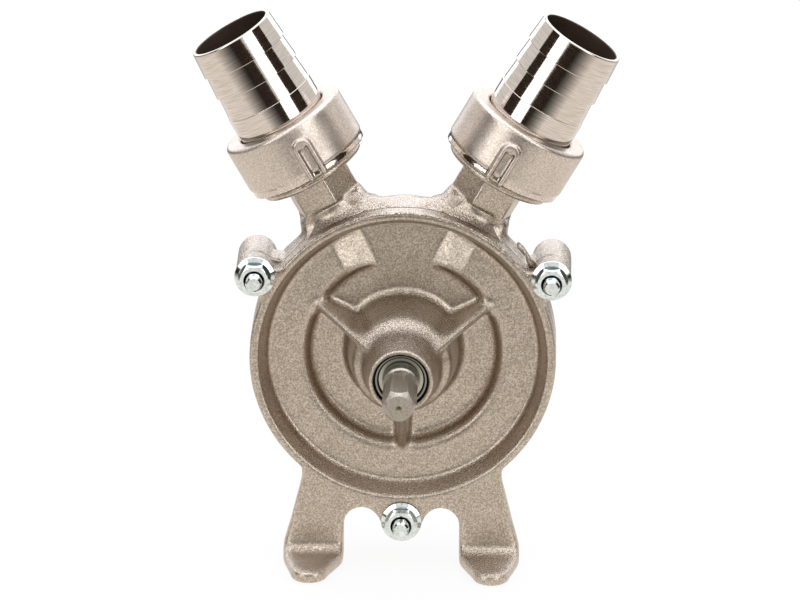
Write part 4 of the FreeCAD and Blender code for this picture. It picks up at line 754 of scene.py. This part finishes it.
paint(makeDull("nitrileRubber", rubberLook), "shaft_seal", "left_port_gasket", "right_port_gasket")
paint(makeDull("gasketBoard", boardLook), "cover_gasket")
print("rubber and board made")


# Camera: the photograph's view.

photoView = {
    "widthPx": 800, "focalPx": 6986.0, "sensorMm": 36.0,
    "azimuth": 1.25, "elevation": 17.6, "roll": 0.42, "distanceMm": 2446.0,
    "lookMm": (-1.04, 6.1, 98.54), "nearM": 0.1, "farM": 100.0,
}


def placeCamera(view):
    turn, lift, roll = (math.radians(view[key]) for key in ("azimuth", "elevation", "roll"))
    back = Vector((math.sin(turn) * math.cos(lift), -math.cos(turn) * math.cos(lift),
                   math.sin(lift)))
    right = Vector((math.cos(turn), math.sin(turn), 0))
    up = back.cross(right)
    right, up = (right * math.cos(roll) + up * math.sin(roll),
                 up * math.cos(roll) - right * math.sin(roll))
    data = bpy.data.cameras.new("photoCamera")
    data.sensor_width = view["sensorMm"]
    data.lens = view["focalPx"] / view["widthPx"] * view["sensorMm"]
    data.clip_start, data.clip_end = view["nearM"], view["farM"]
    camera = bpy.data.objects.new("photoCamera", data)
    bpy.context.scene.collection.objects.link(camera)
    rows = Matrix((right, up, back)).transposed().to_4x4()
    rows.translation = (Vector(view["lookMm"]) + back * view["distanceMm"]) * mm
    camera.matrix_world = rows
    bpy.context.scene.camera = camera


placeCamera(photoView)
print("camera placed")


# Studio: a white sweep, soft lamps, and dark flags that only the metal sees.

studio = {
    "floorHalfM": 6.0, "floorColour": "F2F1EF", "worldGrey": 0.55, "whiteShare": 0.9,
    "clothColour": "352C25",
    # the floor's glow that only metal sees: a painted reflection of a lit table
    "tableColour": "F6F1EB", "tableGlow": 1.22, "tableReachM": 0.36, "tableFade": 2.0,
    "lamps": [  # name, place in m, width and height in m, watts, colour
        ("topSoftbox", (0.0, 0.25, 1.35), (2.2, 2.3), 27.0, "EEF2FF"),
        ("backStrip", (0.0, 1.5, 0.42), (2.6, 0.75), 6.8, "F4F6FF"),
        ("leftStrip", (-1.02, -1.13, 0.60), (0.78, 1.1), 5.8, "FFFFFF"),
        ("rightStrip", (1.02, -1.13, 0.60), (0.78, 1.1), 5.8, "FFFFFF"),
    ],
    "flags": [  # name, its foot's two ends in m, height in m
        ("frontFlag", ((-0.92, -1.6), (0.92, -1.6)), 0.47),
        ("leftFlag", ((-1.30, -0.85), (-1.60, -0.04)), 1.30),
        ("rightFlag", ((1.30, -0.85), (1.60, -0.04)), 1.30),
    ],
    "aimMm": (0.0, 0.0, 95.0),
}


def addStage(name, points, material):
    mesh = bpy.data.meshes.new(name)
    mesh.from_pydata(points, [], [(0, 1, 2, 3)])
    mesh.materials.append(material)
    thing = bpy.data.objects.new(name, mesh)
    bpy.context.scene.collection.objects.link(thing)
    return thing


def makeFloorPaint(setup):
    # matte white paper: white to the camera, and to metal a painted reflection, a glowing pale
    # table that fades to a dark room
    material = bpy.data.materials.new("whitePaperSweep")
    tree = emptyTree(material)
    place = addNode(tree, "ShaderNodeTexCoord").outputs["Object"]
    away = addNode(tree, "ShaderNodeVectorMath", (place,), operation="LENGTH").outputs["Value"]
    away = addNode(tree, "ShaderNodeMath", (away, setup["tableReachM"]),
                   operation="MAXIMUM").outputs["Value"]
    near = addNode(tree, "ShaderNodeMath", (setup["tableReachM"], away),
                   operation="DIVIDE").outputs["Value"]
    faded = addNode(tree, "ShaderNodeMath", (near, setup["tableFade"]),
                    operation="POWER").outputs["Value"]
    glow = addNode(tree, "ShaderNodeMath", (faded, setup["tableGlow"]),
                   operation="MULTIPLY").outputs["Value"]
    matte = addNode(tree, "ShaderNodeBsdfDiffuse", {"Color": linear(setup["floorColour"])})
    white = addNode(tree, "ShaderNodeEmission", {"Color": linear("FFFFFF"), "Strength": 1.0})
    # painted reflection: the floor glows for glossy rays, brightest near the pump
    seen = addNode(tree, "ShaderNodeEmission", {
        "Color": linear(setup["tableColour"]), "Strength": glow})
    path = addNode(tree, "ShaderNodeLightPath")
    share = addNode(tree, "ShaderNodeMath",
                    (path.outputs["Is Camera Ray"], setup["whiteShare"]), operation="MULTIPLY")
    sweep = addNode(tree, "ShaderNodeMixShader",
                    (share.outputs["Value"], matte.outputs["BSDF"], white.outputs["Emission"]))
    mirrored = addNode(tree, "ShaderNodeMath",
                       (path.outputs["Is Glossy Ray"], path.outputs["Is Transmission Ray"]),
                       operation="MAXIMUM")
    both = addNode(tree, "ShaderNodeMixShader",
                   (mirrored.outputs["Value"], sweep.outputs["Shader"], seen.outputs["Emission"]))
    addNode(tree, "ShaderNodeOutputMaterial", {"Surface": both.outputs["Shader"]})
    return material


def makeFlagCloth(code):
    # dark brown duvetyn: mirrors show it as a warm near-black
    material = bpy.data.materials.new("darkFlagCloth")
    tree = emptyTree(material)
    cloth = addNode(tree, "ShaderNodeBsdfDiffuse", {"Color": linear(code)})
    addNode(tree, "ShaderNodeOutputMaterial", {"Surface": cloth.outputs["BSDF"]})
    return material


def buildStudio(setup):
    half = setup["floorHalfM"]
    corners = [(-half, -half, 0), (half, -half, 0), (half, half, 0), (-half, half, 0)]
    addStage("studioFloor", corners, makeFloorPaint(setup))
    cloth = makeFlagCloth(setup["clothColour"])
    for name, (start, end), height in setup["flags"]:
        flag = addStage(name, [(*start, 0), (*end, 0), (*end, height), (*start, height)], cloth)
        flag.visible_camera = flag.visible_diffuse = False
        flag.visible_shadow = flag.visible_transmission = False

    world = bpy.data.worlds.new("studioAir")
    bpy.context.scene.world = world
    tree = emptyTree(world)
    grey = setup["worldGrey"]
    air = addNode(tree, "ShaderNodeBackground", {"Color": (grey, grey, grey, 1), "Strength": 1.0})
    white = addNode(tree, "ShaderNodeBackground", {"Color": linear("FFFFFF"), "Strength": 1.0})
    path = addNode(tree, "ShaderNodeLightPath")
    share = path.outputs["Is Camera Ray"]
    for kind in ("Is Glossy Ray", "Is Transmission Ray"):
        share = addNode(tree, "ShaderNodeMath", (share, path.outputs[kind]),
                        operation="MAXIMUM").outputs["Value"]
    both = addNode(tree, "ShaderNodeMixShader",
                   (share, air.outputs["Background"], white.outputs["Background"]))
    addNode(tree, "ShaderNodeOutputWorld", {"Surface": both.outputs["Shader"]})

    aim = Vector(setup["aimMm"]) * mm
    for name, place, span, watts, code in setup["lamps"]:
        lamp = bpy.data.lights.new(name, "AREA")
        lamp.shape = "RECTANGLE"
        lamp.size, lamp.size_y = span
        lamp.energy = watts
        lamp.color = linear(code)[:3]
        thing = bpy.data.objects.new(name, lamp)
        bpy.context.scene.collection.objects.link(thing)
        thing.location = place
        thing.rotation_euler = (Vector(place) - aim).to_track_quat("Z", "Y").to_euler()
        thing.visible_camera = False


buildStudio(studio)
bpy.context.scene.view_settings.view_transform = "Standard"
print("studio built")
